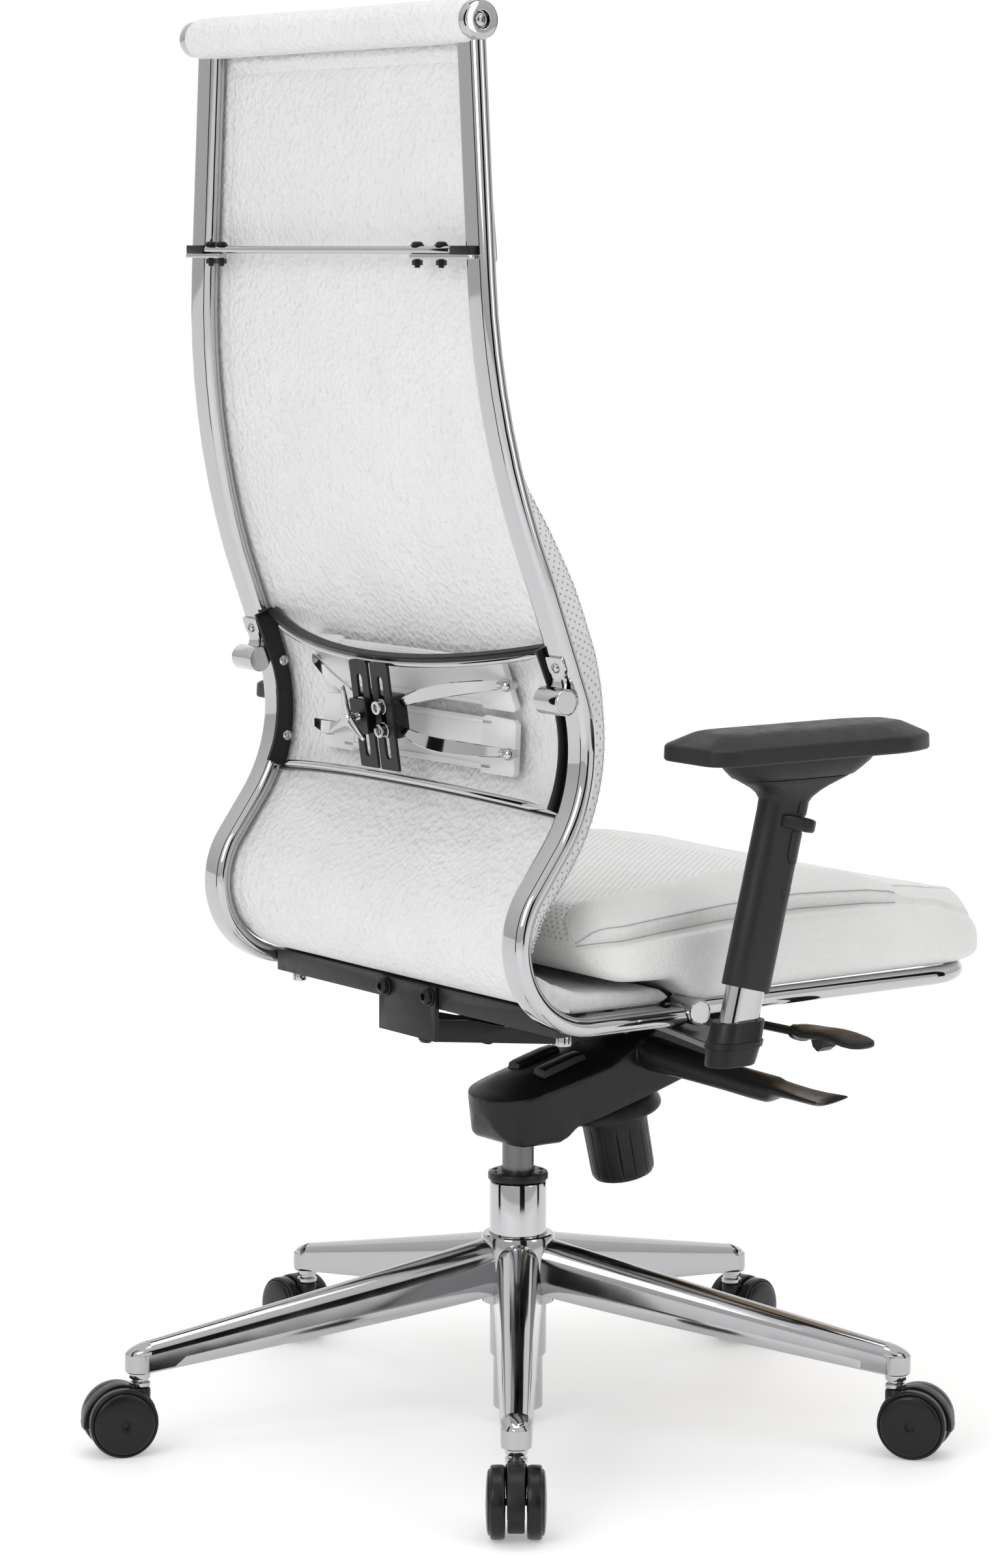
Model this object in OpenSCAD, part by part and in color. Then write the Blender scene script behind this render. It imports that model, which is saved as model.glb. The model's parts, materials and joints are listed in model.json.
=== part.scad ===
// Swivel office chair with a high back, lumbar support, adjustable armrests and a five-caster base.
// Origin: floor level, under the gas lift. +Z is up, the occupant faces -Y, and +X is the occupant's left.

/* [Base] */
// Distance from the column to each caster stem
stem_r = 342; // [320:1:360]
// Wheel diameter
wheel_d = 60; // [56:1:62]
// Outer diameter of the gas lift's cylinder
lift_d = 50; // [48:1:52]
// Diameter of the gas tube
piston_d = 28; // [26:1:30]

/* [Back] */
// Distance from the middle of the chair to each back tube
tube_x = 228.6; // [220:0.1:232]
// Width of the oval tube
tube_w = 30; // [28:1:32]
// Depth of the oval tube
tube_t = 15; // [14:1:16]
// Angle that the upper back leans inwards
lean = 4.6; // [3:0.1:5]
// Diameter of the head roll
roll_d = 35; // [30:1:38]

/* [Seat] */
// Width of the seat cushion
seat_w = 496; // [470:1:500]
// Depth of the seat cushion
seat_d = 442; // [420:1:450]
// Thickness of the seat cushion
seat_t = 88; // [76:1:92]

/* [Armrests] */
// Distance from the middle of the chair to each armrest
arm_x = 302; // [300:1:310]
// Angle that the armrest column leans forwards
arm_lean = 14.2; // [8:0.1:15]
// Length of the arm pad
pad_l = 240; // [220:1:260]
// Width of the arm pad
pad_w = 90; // [80:1:96]

/* [Hidden] */
$fn = 64;
gap = 0.3;
run_fit = 0.1;
wall = 2;

legs = 5;
leg_step = 360 / legs;
socket_z = 67;
trail = 18;
wheel_w = 16;
wheel_in = 8.5;
hood_t = 15;
axle_d = 6;
stem_d = 10;
hub_d = 66;
hub_low = 116;
hub_high = 168;
lift_low = 12;
lift_high = 218;
rod_d = 10;

rail_z = 397;
stub_y = -9;
stub_z = 400;
stub_d = 22.5;
plate_headings = [73, 101.5];
sweep_angle = 10;
hip_r = 71;
hip_turn = 126;
tube_start = stub_y + stub_d / 2 + 0.2;
low_run = 95.5 - tube_start;
hip_run = 42.9;
lumbar_r = 137.1;
lumbar_turn = 56;
mid_run = 90;
kink_r = 150;
upper_r = 700;
upper_turn = 20;
top_run = 183.8;
lumbar_y = 238.6;
lumbar_z = 625;
mid_heading = 70;
side_x = tube_x - tube_w / 2;
panel_t = 4;
panel_off = -10.5;

pivot_y = -80;
pivot_z = 352;
pivot_d = 12;
front_y = -187;
front_z = 372;
front_d = 10;
cheek_in = 41;
cheek_out = 50;
knob_tilt = 12;
knob_y = -103;
knob_z = 272;

board_z = 412;
frame_z = 404;
frame_d = 16;
seat_rear = 88;

arm_y = -12;
arm_z = 428;
arm_col_l = 36;
arm_col_w = 20;
pad_y = -64;
pad_z = 618;
pad_t = 25;
sides = [-1, 1];

bar_y = 198.7;
bar_z = 1029;
bar_w = 8;
bar_h = 6;
plate_t = 3.6;
bar_bolt_d = 4;
bar_bolts = [-170, -136, 162, 179];
kink_run = 12;
panel_start = 8;
stub_out = 1;
strap_y = tube_t / 2 + 0.75;
strap_t = 2.6;
pad_out = 6;
spring_turns = 4;
spring_r = 11;
spring_wire = 2;
spring_rings = 16;
spring_sides = 8;
spring_pitch = 6;
roll_y = 191;
roll_z = 1209.4;
roll_end = 204;
cushion_t = 33;
cushion_low = 70;
rail_run = 37.4;
top_bow_r = 587;
top_bow = 20.95;
strip_w = 7.5;
low_bow_r = 704;
low_bow = 17.3;
low_heading = 112.3;
slot_y = 150;
slot_z = 636;
slot_tilt = 8;
button_z = 139;
stub_rise = 2;
channel_low = 342;
channel_rise = 15;
channel_run = 123;
channel_front = -9;
channel_slope = atan(channel_rise / channel_run);

// ---- helpers ----

// A flat outline with two round ends, long along X.
module oval(w, t) {
  square([w - t, t], center = true);
  for (s = sides) {
    translate([s * (w - t) / 2, 0]) circle(d = t);
  }
}

// A rectangle with round corners.
module round_rect(w, l, r) {
  square([w - 2 * r, l], center = true);
  square([w, l - 2 * r], center = true);
  for (sx = sides, sy = sides) {
    translate([sx * (w / 2 - r), sy * (l / 2 - r)]) circle(r);
  }
}

// Cylinders centred on the origin, lying along X or Y.
module rod_x(l, d) {
  rotate([0, 90, 0]) cylinder(h = l, d = d, center = true);
}

module rod_y(l, d) {
  rotate([90, 0, 0]) cylinder(h = l, d = d, center = true);
}

// Points of a flat outline with two round ends, long along X.
function oval_points(w, t, steps) = [for (s = [1, -1], i = [0:steps])
  let (a = s * (180 * i / steps - 90))
  [s * (w - t) / 2 + s * t / 2 * cos(a), t / 2 * sin(a)]];

function box_points(w, t, x = 0, y = 0) = [
  [x - w / 2, y - t / 2],
  [x + w / 2, y - t / 2],
  [x + w / 2, y + t / 2],
  [x - w / 2, y + t / 2]
];

function moved(x, y, z) = [[1, 0, 0, x], [0, 1, 0, y], [0, 0, 1, z], [0, 0, 0, 1]];
function turned_x(a) = [[1, 0, 0, 0], [0, cos(a), -sin(a), 0], [0, sin(a), cos(a), 0], [0, 0, 0, 1]];
function turned_z(a) = [[cos(a), -sin(a), 0, 0], [sin(a), cos(a), 0, 0], [0, 0, 1, 0], [0, 0, 0, 1]];

// Where a bend has carried the section after a turn, with the bend's plane rolled about Z.
function bent(radius, turn, roll) =
  let (way = turn < 0 ? -1 : 1)
  turned_z(roll) * moved(0, way * radius, 0) * turned_x(-turn) * moved(0, -way * radius, 0) * turned_z(-roll);

// Frames along a path. Each step is [straight, bend radius, turn, roll]: it heads along +Z, then bends
// towards +Y, or -Y for a negative turn.
function frames(path, i = 0, m = moved(0, 0, 0)) =
  i == len(path) ? [] :
  let (step = path[i], start = m * moved(0, 0, step[0]))
  let (count = step[2] == 0 ? 0 : max(1, round(abs(step[2]) / sweep_angle)))
  concat(
    step[0] > 0 ? [start] : [],
    [for (k = [1:1:count]) start * bent(step[1], step[2] * k / count, step[3])],
    frames(path, i + 1, count > 0 ? start * bent(step[1], step[2], step[3]) : start)
  );

// Sweeps an outline along a path as one closed solid.
module sweep(path, outline) {
  places = concat([moved(0, 0, 0)], frames(path));
  n = len(outline);
  points = [for (m = places, p = outline) let (q = m * [p[0], p[1], 0, 1]) [q[0], q[1], q[2]]];
  walls = [for (i = [0:len(places) - 2], j = [0:n - 1])
    let (k = (j + 1) % n)
    [i * n + j, (i + 1) * n + j, (i + 1) * n + k, i * n + k]];
  first = [for (j = [0:n - 1]) j];
  last = [for (j = [n - 1:-1:0]) (len(places) - 1) * n + j];
  polyhedron(points, concat(walls, [first], [last]));
}

// Sweeps the wall between two outlines with equal numbers of points along a path.
module sweep_wall(path, outer, inner) {
  places = concat([moved(0, 0, 0)], frames(path));
  n = len(outer);
  end = (len(places) - 1) * 2 * n;
  points = [for (m = places, p = concat(outer, inner)) let (q = m * [p[0], p[1], 0, 1]) [q[0], q[1], q[2]]];
  outside = [for (i = [0:len(places) - 2], j = [0:n - 1])
    let (k = (j + 1) % n, a = i * 2 * n, b = a + 2 * n)
    [a + j, b + j, b + k, a + k]];
  inside = [for (i = [0:len(places) - 2], j = [0:n - 1])
    let (k = (j + 1) % n, a = i * 2 * n + n, b = a + 2 * n)
    [a + k, b + k, b + j, a + j]];
  first = [for (j = [0:n - 1]) let (k = (j + 1) % n) [j, k, n + k, n + j]];
  last = [for (j = [0:n - 1]) let (k = (j + 1) % n) [end + k, end + j, end + n + j, end + n + k]];
  polyhedron(points, concat(outside, inside, first, last));
}

// Puts its children on the lumbar bend at a heading: Z runs up the tube and Y points to the rear.
module at_lumbar(heading) {
  translate([0, lumbar_y, lumbar_z]) rotate([heading - 90, 0, 0]) translate([0, -lumbar_r, 0]) children();
}

// A screw whose head sits on the XY plane, with its shank along -Z.
module screw(d, l, head_d, head_h) {
  difference() {
    union() {
      cylinder(h = head_h, d1 = head_d, d2 = head_d * 0.7);
      translate([0, 0, -l]) cylinder(h = l, d = d);
    }
    translate([0, 0, head_h * 0.4]) cylinder(h = head_h, d = d * 0.6);
  }
}

module at_leg(i) {
  rotate(i * leg_step) children();
}

// ---- base ----

module leg() {
  tip_r = 13;
  intersection() {
    linear_extrude(200) polygon([[0, -24], [0, 24], [stem_r, tip_r], [stem_r + tip_r, tip_r / 2],
      [stem_r + tip_r, -tip_r / 2], [stem_r, -tip_r]]);
    rotate([90, 0, 0]) linear_extrude(60, center = true)
      polygon([[0, hub_low + 2], [hub_d / 2, hub_low + 2], [stem_r - 20, socket_z], [stem_r + 20, socket_z],
        [stem_r + 20, 91], [stem_r - 20, 98], [hub_d / 2, hub_high - 4], [0, hub_high - 4]]);
  }
}

// The hollow under a leg, between its two side walls.
module leg_pocket() {
  rotate([90, 0, 0]) linear_extrude(18, center = true)
    polygon([[hub_d / 2 + 6, hub_low - 60], [hub_d / 2 + 6, hub_high - 16], [stem_r - 30, 88],
      [stem_r - 30, hub_low - 60]]);
}

module star_base() {
  color("gainsboro") difference() {
    union() {
      translate([0, 0, hub_low]) cylinder(h = hub_high - hub_low, d = hub_d);
      for (i = [0:legs - 1]) {
        at_leg(i) leg();
      }
    }
    cylinder(h = 250, d = lift_d + run_fit);
    for (i = [0:legs - 1]) {
      at_leg(i) {
        leg_pocket();
        translate([stem_r, 0, 0]) cylinder(h = 90, d = stem_d + run_fit);
      }
    }
  }
}

module lift_cylinder() {
  narrow = lift_d - 6;
  step_z = 60;
  color("silver") difference() {
    union() {
      translate([0, 0, step_z]) cylinder(h = lift_high - step_z, d = lift_d);
      translate([0, 0, lift_low]) cylinder(h = step_z - lift_low, d = narrow);
    }
    translate([0, 0, lift_low + 4]) cylinder(h = 250, d = narrow - 2 * wall);
    cylinder(h = 40, d = rod_d + run_fit);
  }
}

module lift_collar() {
  color("dimgray") difference() {
    union() {
      translate([0, 0, lift_high]) cylinder(h = 7, d = lift_d + 3);
      translate([0, 0, lift_high - 66]) cylinder(h = 66, d = lift_d - 6 - 2 * wall - run_fit);
    }
    cylinder(h = 300, d = piston_d + run_fit);
  }
}

module thrust_bearing() {
  color("silver") difference() {
    translate([0, 0, lift_low + 4]) cylinder(h = 4, d = 34);
    cylinder(h = 40, d = rod_d + run_fit);
  }
}

module caster_stems() {
  color("silver") for (i = [0:legs - 1]) {
    at_leg(i) translate([stem_r, 0, 0]) {
      translate([0, 0, 26]) cylinder(h = 60, d = stem_d);
      translate([0, 0, socket_z - 8]) cylinder(h = 8, d = 19);
    }
  }
}

module lift_rod() {
  color("silver") {
    translate([0, 0, lift_low]) cylinder(h = 184, d = rod_d);
    translate([0, 0, lift_low + 8.05]) cylinder(h = 3, d = 26);
    translate([0, 0, 190]) cylinder(h = 8, d = piston_d - 4 - run_fit);
  }
}

module caster_hood(i) {
  hood_top = socket_z - 9;
  color("black") at_leg(i) translate([stem_r, 0, 0]) {
    difference() {
      union() {
        translate([trail, 0, wheel_d / 2]) rod_y(hood_t, 42);
        translate([0, 0, 20]) cylinder(h = hood_top - 20, d = hood_t + 1);
        translate([trail / 2, 0, 40]) cube([trail, hood_t, 22], center = true);
      }
      translate([0, 0, 24]) cylinder(h = 60, d = stem_d + run_fit);
      translate([trail, 0, wheel_d / 2]) rod_y(60, axle_d + run_fit);
    }
    translate([trail, 0, wheel_d / 2]) rotate([90, 0, 0])
      cylinder(h = 2 * (wheel_in + wheel_w) - 6, d = axle_d, center = true);
  }
}

module wheel() {
  rim = wheel_d / 2;
  rotate_extrude() polygon([[axle_d / 2 + run_fit / 2, 0], [rim - 3, 0], [rim, 3], [rim, wheel_w - 4],
    [rim - 2, wheel_w - 2], [rim - 6, wheel_w - 2], [rim - 7, wheel_w - 1], [12, wheel_w],
    [4, wheel_w], [4, wheel_w - 2], [axle_d / 2 + run_fit / 2, wheel_w - 2]]);
}

module caster_wheels(i) {
  color("black") at_leg(i) translate([stem_r + trail, 0, wheel_d / 2]) for (s = sides) {
    rotate([s * 90, 0, 0]) translate([0, 0, wheel_in]) wheel();
  }
}

// ---- tilt mechanism ----

module lift_tube() {
  color("dimgray") difference() {
    translate([0, 0, 95]) cylinder(h = 205, d = piston_d);
    translate([0, 0, 105]) cylinder(h = 185, d = piston_d - 4);
    cylinder(h = 120, d = rod_d + run_fit);
  }
}

// Turns an outline drawn in Y and Z into a plate of a given thickness along X.
module side_plate(t) {
  rotate([90, 0, 90]) linear_extrude(t, center = true) children();
}

// The axis of the tension knob, pointing down and a little forwards.
module at_knob() {
  translate([0, knob_y, knob_z]) rotate([180 - knob_tilt, 0, 0]) children();
}

module housing_plan() {
  translate([-cheek_out, front_y - 22]) square([2 * cheek_out, 190]);
  circle(d = 100);
}

module mech_housing() {
  color("black") difference() {
    union() {
      intersection() {
        side_plate(120) polygon([[36, 248], [50, 262], [50, 286], [0, 312], [-42, 324], [-60, 330],
          [-60, 376], [-165, 386], [-209, 386], [-209, 318], [-161, 300], [-45, 262], [-32, 248]]);
        linear_extrude(500) housing_plan();
      }
      at_knob() translate([0, 0, -8]) cylinder(h = 14, d1 = 70, d2 = 88);
    }
    translate([-cheek_in, -200, 342]) cube([2 * cheek_in, 160, 80]);
    translate([-cheek_in, -160, 306]) cube([2 * cheek_in, 104, 80]);
    translate([0, 0, 240]) cylinder(h = 61, d = piston_d + run_fit);
    translate([0, pivot_y, pivot_z]) rod_x(200, pivot_d + run_fit);
    translate([0, front_y, front_z]) rod_x(200, front_d + run_fit);
    at_knob() cylinder(h = 160, d = 10 + run_fit, center = true);
    translate([-cheek_out, -104, 327]) rod_x(40, 12 + run_fit);
    translate([-cheek_out, -152, 360]) rod_x(40, 8 + run_fit);
  }
}

// Moulded cap over the rear of the housing, with two raised ribs.
module mech_cover() {
  color("dimgray") {
    intersection() {
      side_plate(84) polygon([[46, 289], [0, 312.2], [-38, 323.2], [-38, 325.2], [0, 314.4], [46, 291]]);
      linear_extrude(500) circle(d = 92);
    }
    for (x = [-30, 4]) {
      translate([x, 0, 0]) intersection() {
        side_plate(26) polygon([[30, 297.2], [30, 303], [0, 317.6], [-28, 325.5], [-28, 320.8], [0, 312.8]]);
        translate([0, 0, 290]) linear_extrude(60) translate([0, 8]) square([26, 60], center = true);
      }
    }
  }
}

module pivot_shafts() {
  color("silver") {
    translate([0, pivot_y, pivot_z]) rod_x(2 * cheek_out + 4, pivot_d);
    translate([0, front_y, front_z]) rod_x(134, front_d);
  }
}

// Coil spring about the knob's screw, swept along its helix.

function spring_point(i, j) =
  let (a = 360 * i / spring_rings, b = 360 * j / spring_sides)
  let (r = spring_r + spring_wire * cos(b))
  [r * cos(a), r * sin(a), spring_pitch * a / 360 + spring_wire * sin(b)];

module tension_spring() {
  rings = spring_turns * spring_rings;
  points = [for (i = [0:rings], j = [0:spring_sides - 1]) spring_point(i, j)];
  walls = [for (i = [0:rings - 1], j = [0:spring_sides - 1])
    let (k = (j + 1) % spring_sides)
    [i * spring_sides + j, (i + 1) * spring_sides + j, (i + 1) * spring_sides + k, i * spring_sides + k]];
  first = [for (j = [0:spring_sides - 1]) j];
  last = [for (j = [spring_sides - 1:-1:0]) rings * spring_sides + j];
  color("silver") at_knob() translate([0, 0, -68]) polyhedron(points, concat(walls, [first], [last]));
}

module tension_knob() {
  ribs = 14;
  color("black") at_knob() {
    difference() {
      translate([0, 0, 7]) cylinder(h = 60, d = 58);
      for (i = [0:ribs - 1]) {
        rotate(i * 360 / ribs) translate([31, 0, 20]) cylinder(h = 50, d = 7);
      }
    }
    translate([0, 0, -74]) cylinder(h = 85, d = 10);
  }
}

module tilt_lever() {
  grip_x = -150;
  color("black") translate([0, -104, 327]) {
    translate([-52, 0, 0]) rod_x(16, 12);
    translate([-54, 0, 0]) rotate([0, -96, 14]) {
      linear_extrude(130) oval(17, 26);
      translate([0, 0, 125]) rotate([90, 0, 90]) linear_extrude(9, center = true)
        polygon([[-13, 0], [13, 0], [24, 50], [20, 58], [-8, 52]]);
    }
  }
}

module height_lever() {
  color("black") translate([0, -152, 360]) {
    translate([-206, 0, 0]) rotate([0, 90, 0]) cylinder(h = 164, d = 8);
    translate([-62, 0, 0]) rotate([0, 90, 0]) cylinder(h = 8, d = 12);
    translate([-243, 0, 2]) linear_extrude(9, center = true) oval(90, 34);
    translate([-225, 0, 0]) rotate([0, 90, 0]) cylinder(h = 34, d = 14);
  }
}

// ---- back ----

back_steps = [
  [low_run, hip_r, -hip_turn, 0],
  [hip_run, lumbar_r, lumbar_turn, 0],
  [mid_run, kink_r, lean, 90],
  [0, upper_r, -upper_turn, 0],
  [top_run, 0, 0, 0]
];

module back_tubes() {
  color("silver") for (side = [0, 1]) {
    mirror([side, 0, 0]) translate([tube_x, tube_start, rail_z]) rotate([-90, 0, 0])
      sweep_wall(back_steps, oval_points(tube_w, tube_t, 8),
        oval_points(tube_w - 2 * wall, tube_t - 2 * wall, 8));
  }
}

module head_roll() {
  color("white") translate([0, roll_y, roll_z]) rod_x(2 * roll_end, roll_d);
}

module roll_caps() {
  color("silver") for (s = sides) {
    translate([s * (roll_end + 6), roll_y, roll_z]) rotate([0, s * 90, 0]) difference() {
      cylinder(h = 12, d = 31, center = true);
      translate([0, 0, 4]) cylinder(h = 3, d = 15);
      cylinder(h = 30, d = 6 + run_fit, center = true);
    }
  }
}

// The bar with a flat plate under each end, bolted through from above.
module crossbar() {
  color("silver") translate([0, bar_y, bar_z]) difference() {
    union() {
      cube([372, bar_w, bar_h], center = true);
      translate([-172, 0, -bar_h / 2 - plate_t / 2 - 0.1]) cube([84, bar_w, plate_t], center = true);
      translate([187, 0, -bar_h / 2 - plate_t / 2 - 0.1]) cube([54, bar_w, plate_t], center = true);
    }
    for (x = bar_bolts) {
      translate([x, 0, 0]) cylinder(h = 40, d = bar_bolt_d + run_fit, center = true);
    }
  }
}

module crossbar_clamps() {
  color("black") for (s = sides) {
    translate([s * 200, bar_y, bar_z + 0.4]) cube([27, bar_w, bar_h + 0.8], center = true);
  }
}

panel_steps = [
  [95.5 - panel_start, hip_r, -hip_turn, 0],
  [hip_run, lumbar_r, lumbar_turn, 0],
  [mid_run + kink_run, upper_r, -upper_turn, 0],
  [top_run, 0, 0, 0]
];

// The back's outline seen from behind, inset from the tubes' centre lines.
module back_outline(inset, low, high) {
  points = [[tube_x - inset, low], [tube_x - inset, 768], [tube_x - 19.7 - inset, 1006],
    [tube_x - 34 - inset, high]];
  translate([0, 500, 0]) rotate([90, 0, 0]) linear_extrude(700)
    polygon(concat(points, [for (i = [3:-1:0]) [-points[i][0], points[i][1]]]));
}

module back_panel() {
  color("whitesmoke") intersection() {
    translate([0, panel_start, rail_z]) rotate([-90, 0, 0])
      sweep(panel_steps, box_points(2 * tube_x, panel_t, 0, panel_off));
    back_outline(9, 300, 1190);
  }
}

module back_cushion() {
  skin = -13;
  steps = [
    [0, hip_r, cushion_low - hip_turn, 0],
    [hip_run, lumbar_r, lumbar_turn, 0],
    [mid_run + kink_run, 0, 0, 0]
  ];
  color("white") {
    translate([0, 95.5, rail_z + hip_r]) rotate([cushion_low - 90, 0, 0]) translate([0, hip_r, 0])
      sweep(steps, box_points(410, cushion_t, 0, skin - cushion_t / 2));
    at_lumbar(mid_heading) translate([0, 0, mid_run + kink_run - 1])
      sweep([[0, upper_r, -10, 0]], box_points(396, 18, 0, skin - 9));
  }
}

module head_pad() {
  color("white") translate([0, 186 - 13 - 13, 1100]) rotate([90, 0, 0]) linear_extrude(26, center = true)
    round_rect(350, 178, 20);
}

// The mid-back stubs on their straps, and the barrels on the ends of the tubes.
module back_stubs() {
  color("silver") for (s = sides) {
    difference() {
      translate([s * (tube_x - 1), stub_y, stub_z]) rod_x(36, stub_d);
      translate([s * (tube_x - 4), stub_y, stub_z]) rod_x(37, 10 + run_fit);
    }
    at_lumbar(mid_heading) translate([s * tube_x, 0, stub_rise]) {
      translate([s * stub_out, strap_y + stub_d / 2, 0]) rotate([0, 90, 0])
        cylinder(h = 31, d = stub_d, center = true);
      difference() {
        translate([s * stub_out, strap_y + strap_t / 2, 16]) cube([22, strap_t, 38], center = true);
        translate([0, 0, 24 - stub_rise]) rod_y(60, 5 + run_fit);
      }
    }
  }
}

// An arc that bows to the rear between the two side plates, drawn in its own XY plane.
module bow(radius, half) {
  translate([0, radius * (1 - cos(half)) - radius, 0]) rotate([0, 0, 90 - half])
    rotate_extrude(angle = 2 * half, $fn = 128) translate([radius, 0]) children();
}

module lumbar_rails() {
  color("silver") at_lumbar(mid_heading) translate([0, 0, rail_run]) rotate([-12, 0, 0])
    bow(top_bow_r, top_bow) {
      translate([0, -4]) circle(d = 6, $fn = 32);
    }
  color("black") at_lumbar(mid_heading) translate([0, 0, rail_run]) rotate([-12, 0, 0])
    bow(top_bow_r, top_bow) translate([-strip_w / 2, 0]) square([strip_w, 3], center = true);
  color("silver") at_lumbar(low_heading) bow(low_bow_r, low_bow) circle(d = 7, $fn = 32);
}

module lumbar_side_plates() {
  steps = [[0, lumbar_r, low_heading - mid_heading, 0], [rail_run + 4, 0, 0, 0]];
  color("black") for (s = sides) {
    difference() {
      at_lumbar(low_heading) translate([s * (side_x - 1.8), 0, 0]) sweep(steps, box_points(3, 18, 0, 3));
      for (h = plate_headings) {
        at_lumbar(h) rod_x(600, 5 + run_fit);
      }
    }
  }
}

module at_slots() {
  translate([0, slot_y, slot_z]) rotate([-slot_tilt, 0, 0]) children();
}

module slotted_plates() {
  color("black") at_slots() for (x = [-15.5, 15.5]) {
    translate([x, 0, 0]) rotate([90, 0, 0]) linear_extrude(2.5, center = true) difference() {
      translate([0, -2]) square([26, 86], center = true);
      rotate(90) oval(72, 8);
    }
  }
}

// ---- lumbar carriage ----

module carriage_block() {
  color("black") at_slots() difference() {
    translate([0, -9.3, 0]) cube([54, 14, 37], center = true);
    translate([15.5, 0, 0]) rod_y(60, 6 + run_fit);
    for (z = [-10, 10]) {
      translate([-15.5, 0, z]) rod_y(60, 6 + run_fit);
    }
  }
}

module carriage_bolts() {
  color("silver") at_slots() for (z = [-10, 10]) {
    translate([-15.5, 1.6, z]) rotate([-90, 0, 0]) screw(6, 16, 12, 8);
  }
}

// Four bowed leaf springs from the block to the ends of the pads.
module lumbar_arms() {
  color("silver") at_slots() for (s = sides, v = sides) {
    mirror([s > 0 ? 0 : 1, 0, 0]) translate([22, -17.8, v * 7]) rotate([0, 90 - v * 13, 0])
      sweep([[10, 200, -12, 0], [66, 0, 0, 0]], box_points(12, 2.4));
  }
}

module lumbar_pads() {
  color("whitesmoke") for (h = [70, 93]) {
    at_lumbar(h) translate([0, 1.1, 1]) rotate([90, 0, 0])
      linear_extrude(5, center = true) round_rect(282, 48, 6);
  }
}

module lumbar_knob() {
  color("silver") at_slots() translate([15.5, 0, 0]) {
    rotate([90, 0, 0]) translate([0, 0, -20]) cylinder(h = 34, d = 6);
    translate([0, 17, 0]) rod_y(8, 13);
    for (i = [0:2]) {
      translate([0, 18, 0]) rotate([0, 15 + i * 120, 0]) translate([0, 0, 15]) cube([4, 5, 30], center = true);
    }
  }
}

// ---- links between back and mechanism ----

module cross_plate() {
  color("dimgray") difference() {
    translate([-212, 84, 386]) cube([424, 30, 19]);
    translate([-206, 82, 382]) cube([412, 28, 19]);
    bracket_screw_axes() cylinder(h = 60, d = 8 + run_fit, center = true);
  }
  color("dimgray") for (s = sides) {
    difference() {
      translate([s * 199, 99, 389]) cube([13.8, 21.8, 5.8], center = true);
      translate([s * 200, 98, 389]) cylinder(h = 60, d = 6 + run_fit, center = true);
    }
  }
}

module bracket_screw_axes() {
  for (s = sides) {
    translate([s * 33, 118, 396.5]) rotate([-90, 0, 0]) children();
  }
}

// Height of the sloping floor's underside.
function channel_z(y) = channel_low + (y - channel_front) * channel_rise / channel_run;

module flange_screw_axes() {
  for (y = [98, 33]) {
    translate([0, y, channel_z(y) - 0.1]) rotate([180 + channel_slope, 0, 0]) children();
  }
}

module lever_bracket() {
  color("dimgray") difference() {
    union() {
      translate([-43, 114.1, 358]) cube([86, 3.9, 47]);
      side_plate(66) polygon([[118, channel_z(118) + 4.15], [118, channel_z(118) + 8.15],
        [24, channel_z(24) + 8.15], [24, channel_z(24) + 4.15]]);
    }
    bracket_screw_axes() cylinder(h = 60, d = 8 + run_fit, center = true);
    flange_screw_axes() cylinder(h = 60, d = 8 + run_fit, center = true);
  }
}

module back_lever() {
  color("black") difference() {
    union() {
      side_plate(76) polygon([[114, channel_z(114)], [114, channel_z(114) + 4],
        [channel_front, channel_low + 4], [-60, channel_low + 4], [-60, channel_low],
        [channel_front, channel_low]]);
      for (s = sides) {
        translate([s * 36, 0, 0]) side_plate(4)
          polygon([[114, channel_z(114)], [114, 376], [80, 372], [40, 362], [-95, 364], [-95, channel_low],
            [channel_front, channel_low]]);
      }
    }
    translate([0, pivot_y, pivot_z]) rod_x(200, pivot_d + run_fit);
    flange_screw_axes() cylinder(h = 60, d = 8 + run_fit, center = true);
  }
}

module chrome_screws() {
  color("silver") {
    for (s = sides, h = plate_headings) {
      at_lumbar(h) translate([s * (side_x - 3.3), 0, 0]) rotate([0, -s * 90, 0]) screw(5, 2.9, 10, 3);
    }
    for (s = sides) {
      at_lumbar(mid_heading) translate([s * tube_x, strap_y + strap_t, 24]) rotate([-90, 0, 0])
        screw(5, strap_t, 9, 2.5);
      translate([s * (roll_end + 10), roll_y, roll_z]) rotate([0, s * 90, 0]) screw(6, 9, 12, 3);
      translate([s * 200, 98, 386]) rotate([180, 0, 0]) screw(6, 5.9, 12, 9);
    }
  }
}

module black_bolts() {
  color("black") {
    bracket_screw_axes() screw(8, 7.9, 16, 5);
    flange_screw_axes() screw(8, 8, 14, 6);
    for (x = bar_bolts) {
      translate([x, bar_y, bar_z]) {
        translate([0, 0, bar_h / 2]) screw(bar_bolt_d, bar_h + plate_t + 3, 10, 3);
        translate([0, 0, -bar_h / 2 - plate_t - 3.3]) cylinder(h = 3, d = 8, $fn = 6);
      }
    }
  }
}

// ---- seat ----

module seat_frame() {
  corner = 60;
  front = -330;
  side = 236;
  start = -23;
  color("silver") for (s = [0, 1]) {
    mirror([s, 0, 0]) {
      translate([side, start, frame_z]) rotate([90, 0, 0]) ring_tube(start - front - corner);
      translate([side - corner, front + corner, frame_z]) rotate(-90) rotate_extrude(angle = 90)
        translate([corner, 0]) tube_section();
      translate([0, front, frame_z]) rotate([0, 90, 0]) ring_tube(side - corner);
    }
  }
}

module tube_section() {
  difference() {
    circle(d = frame_d);
    circle(d = frame_d - 2 * wall);
  }
}

module ring_tube(l) {
  linear_extrude(l) tube_section();
}

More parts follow.
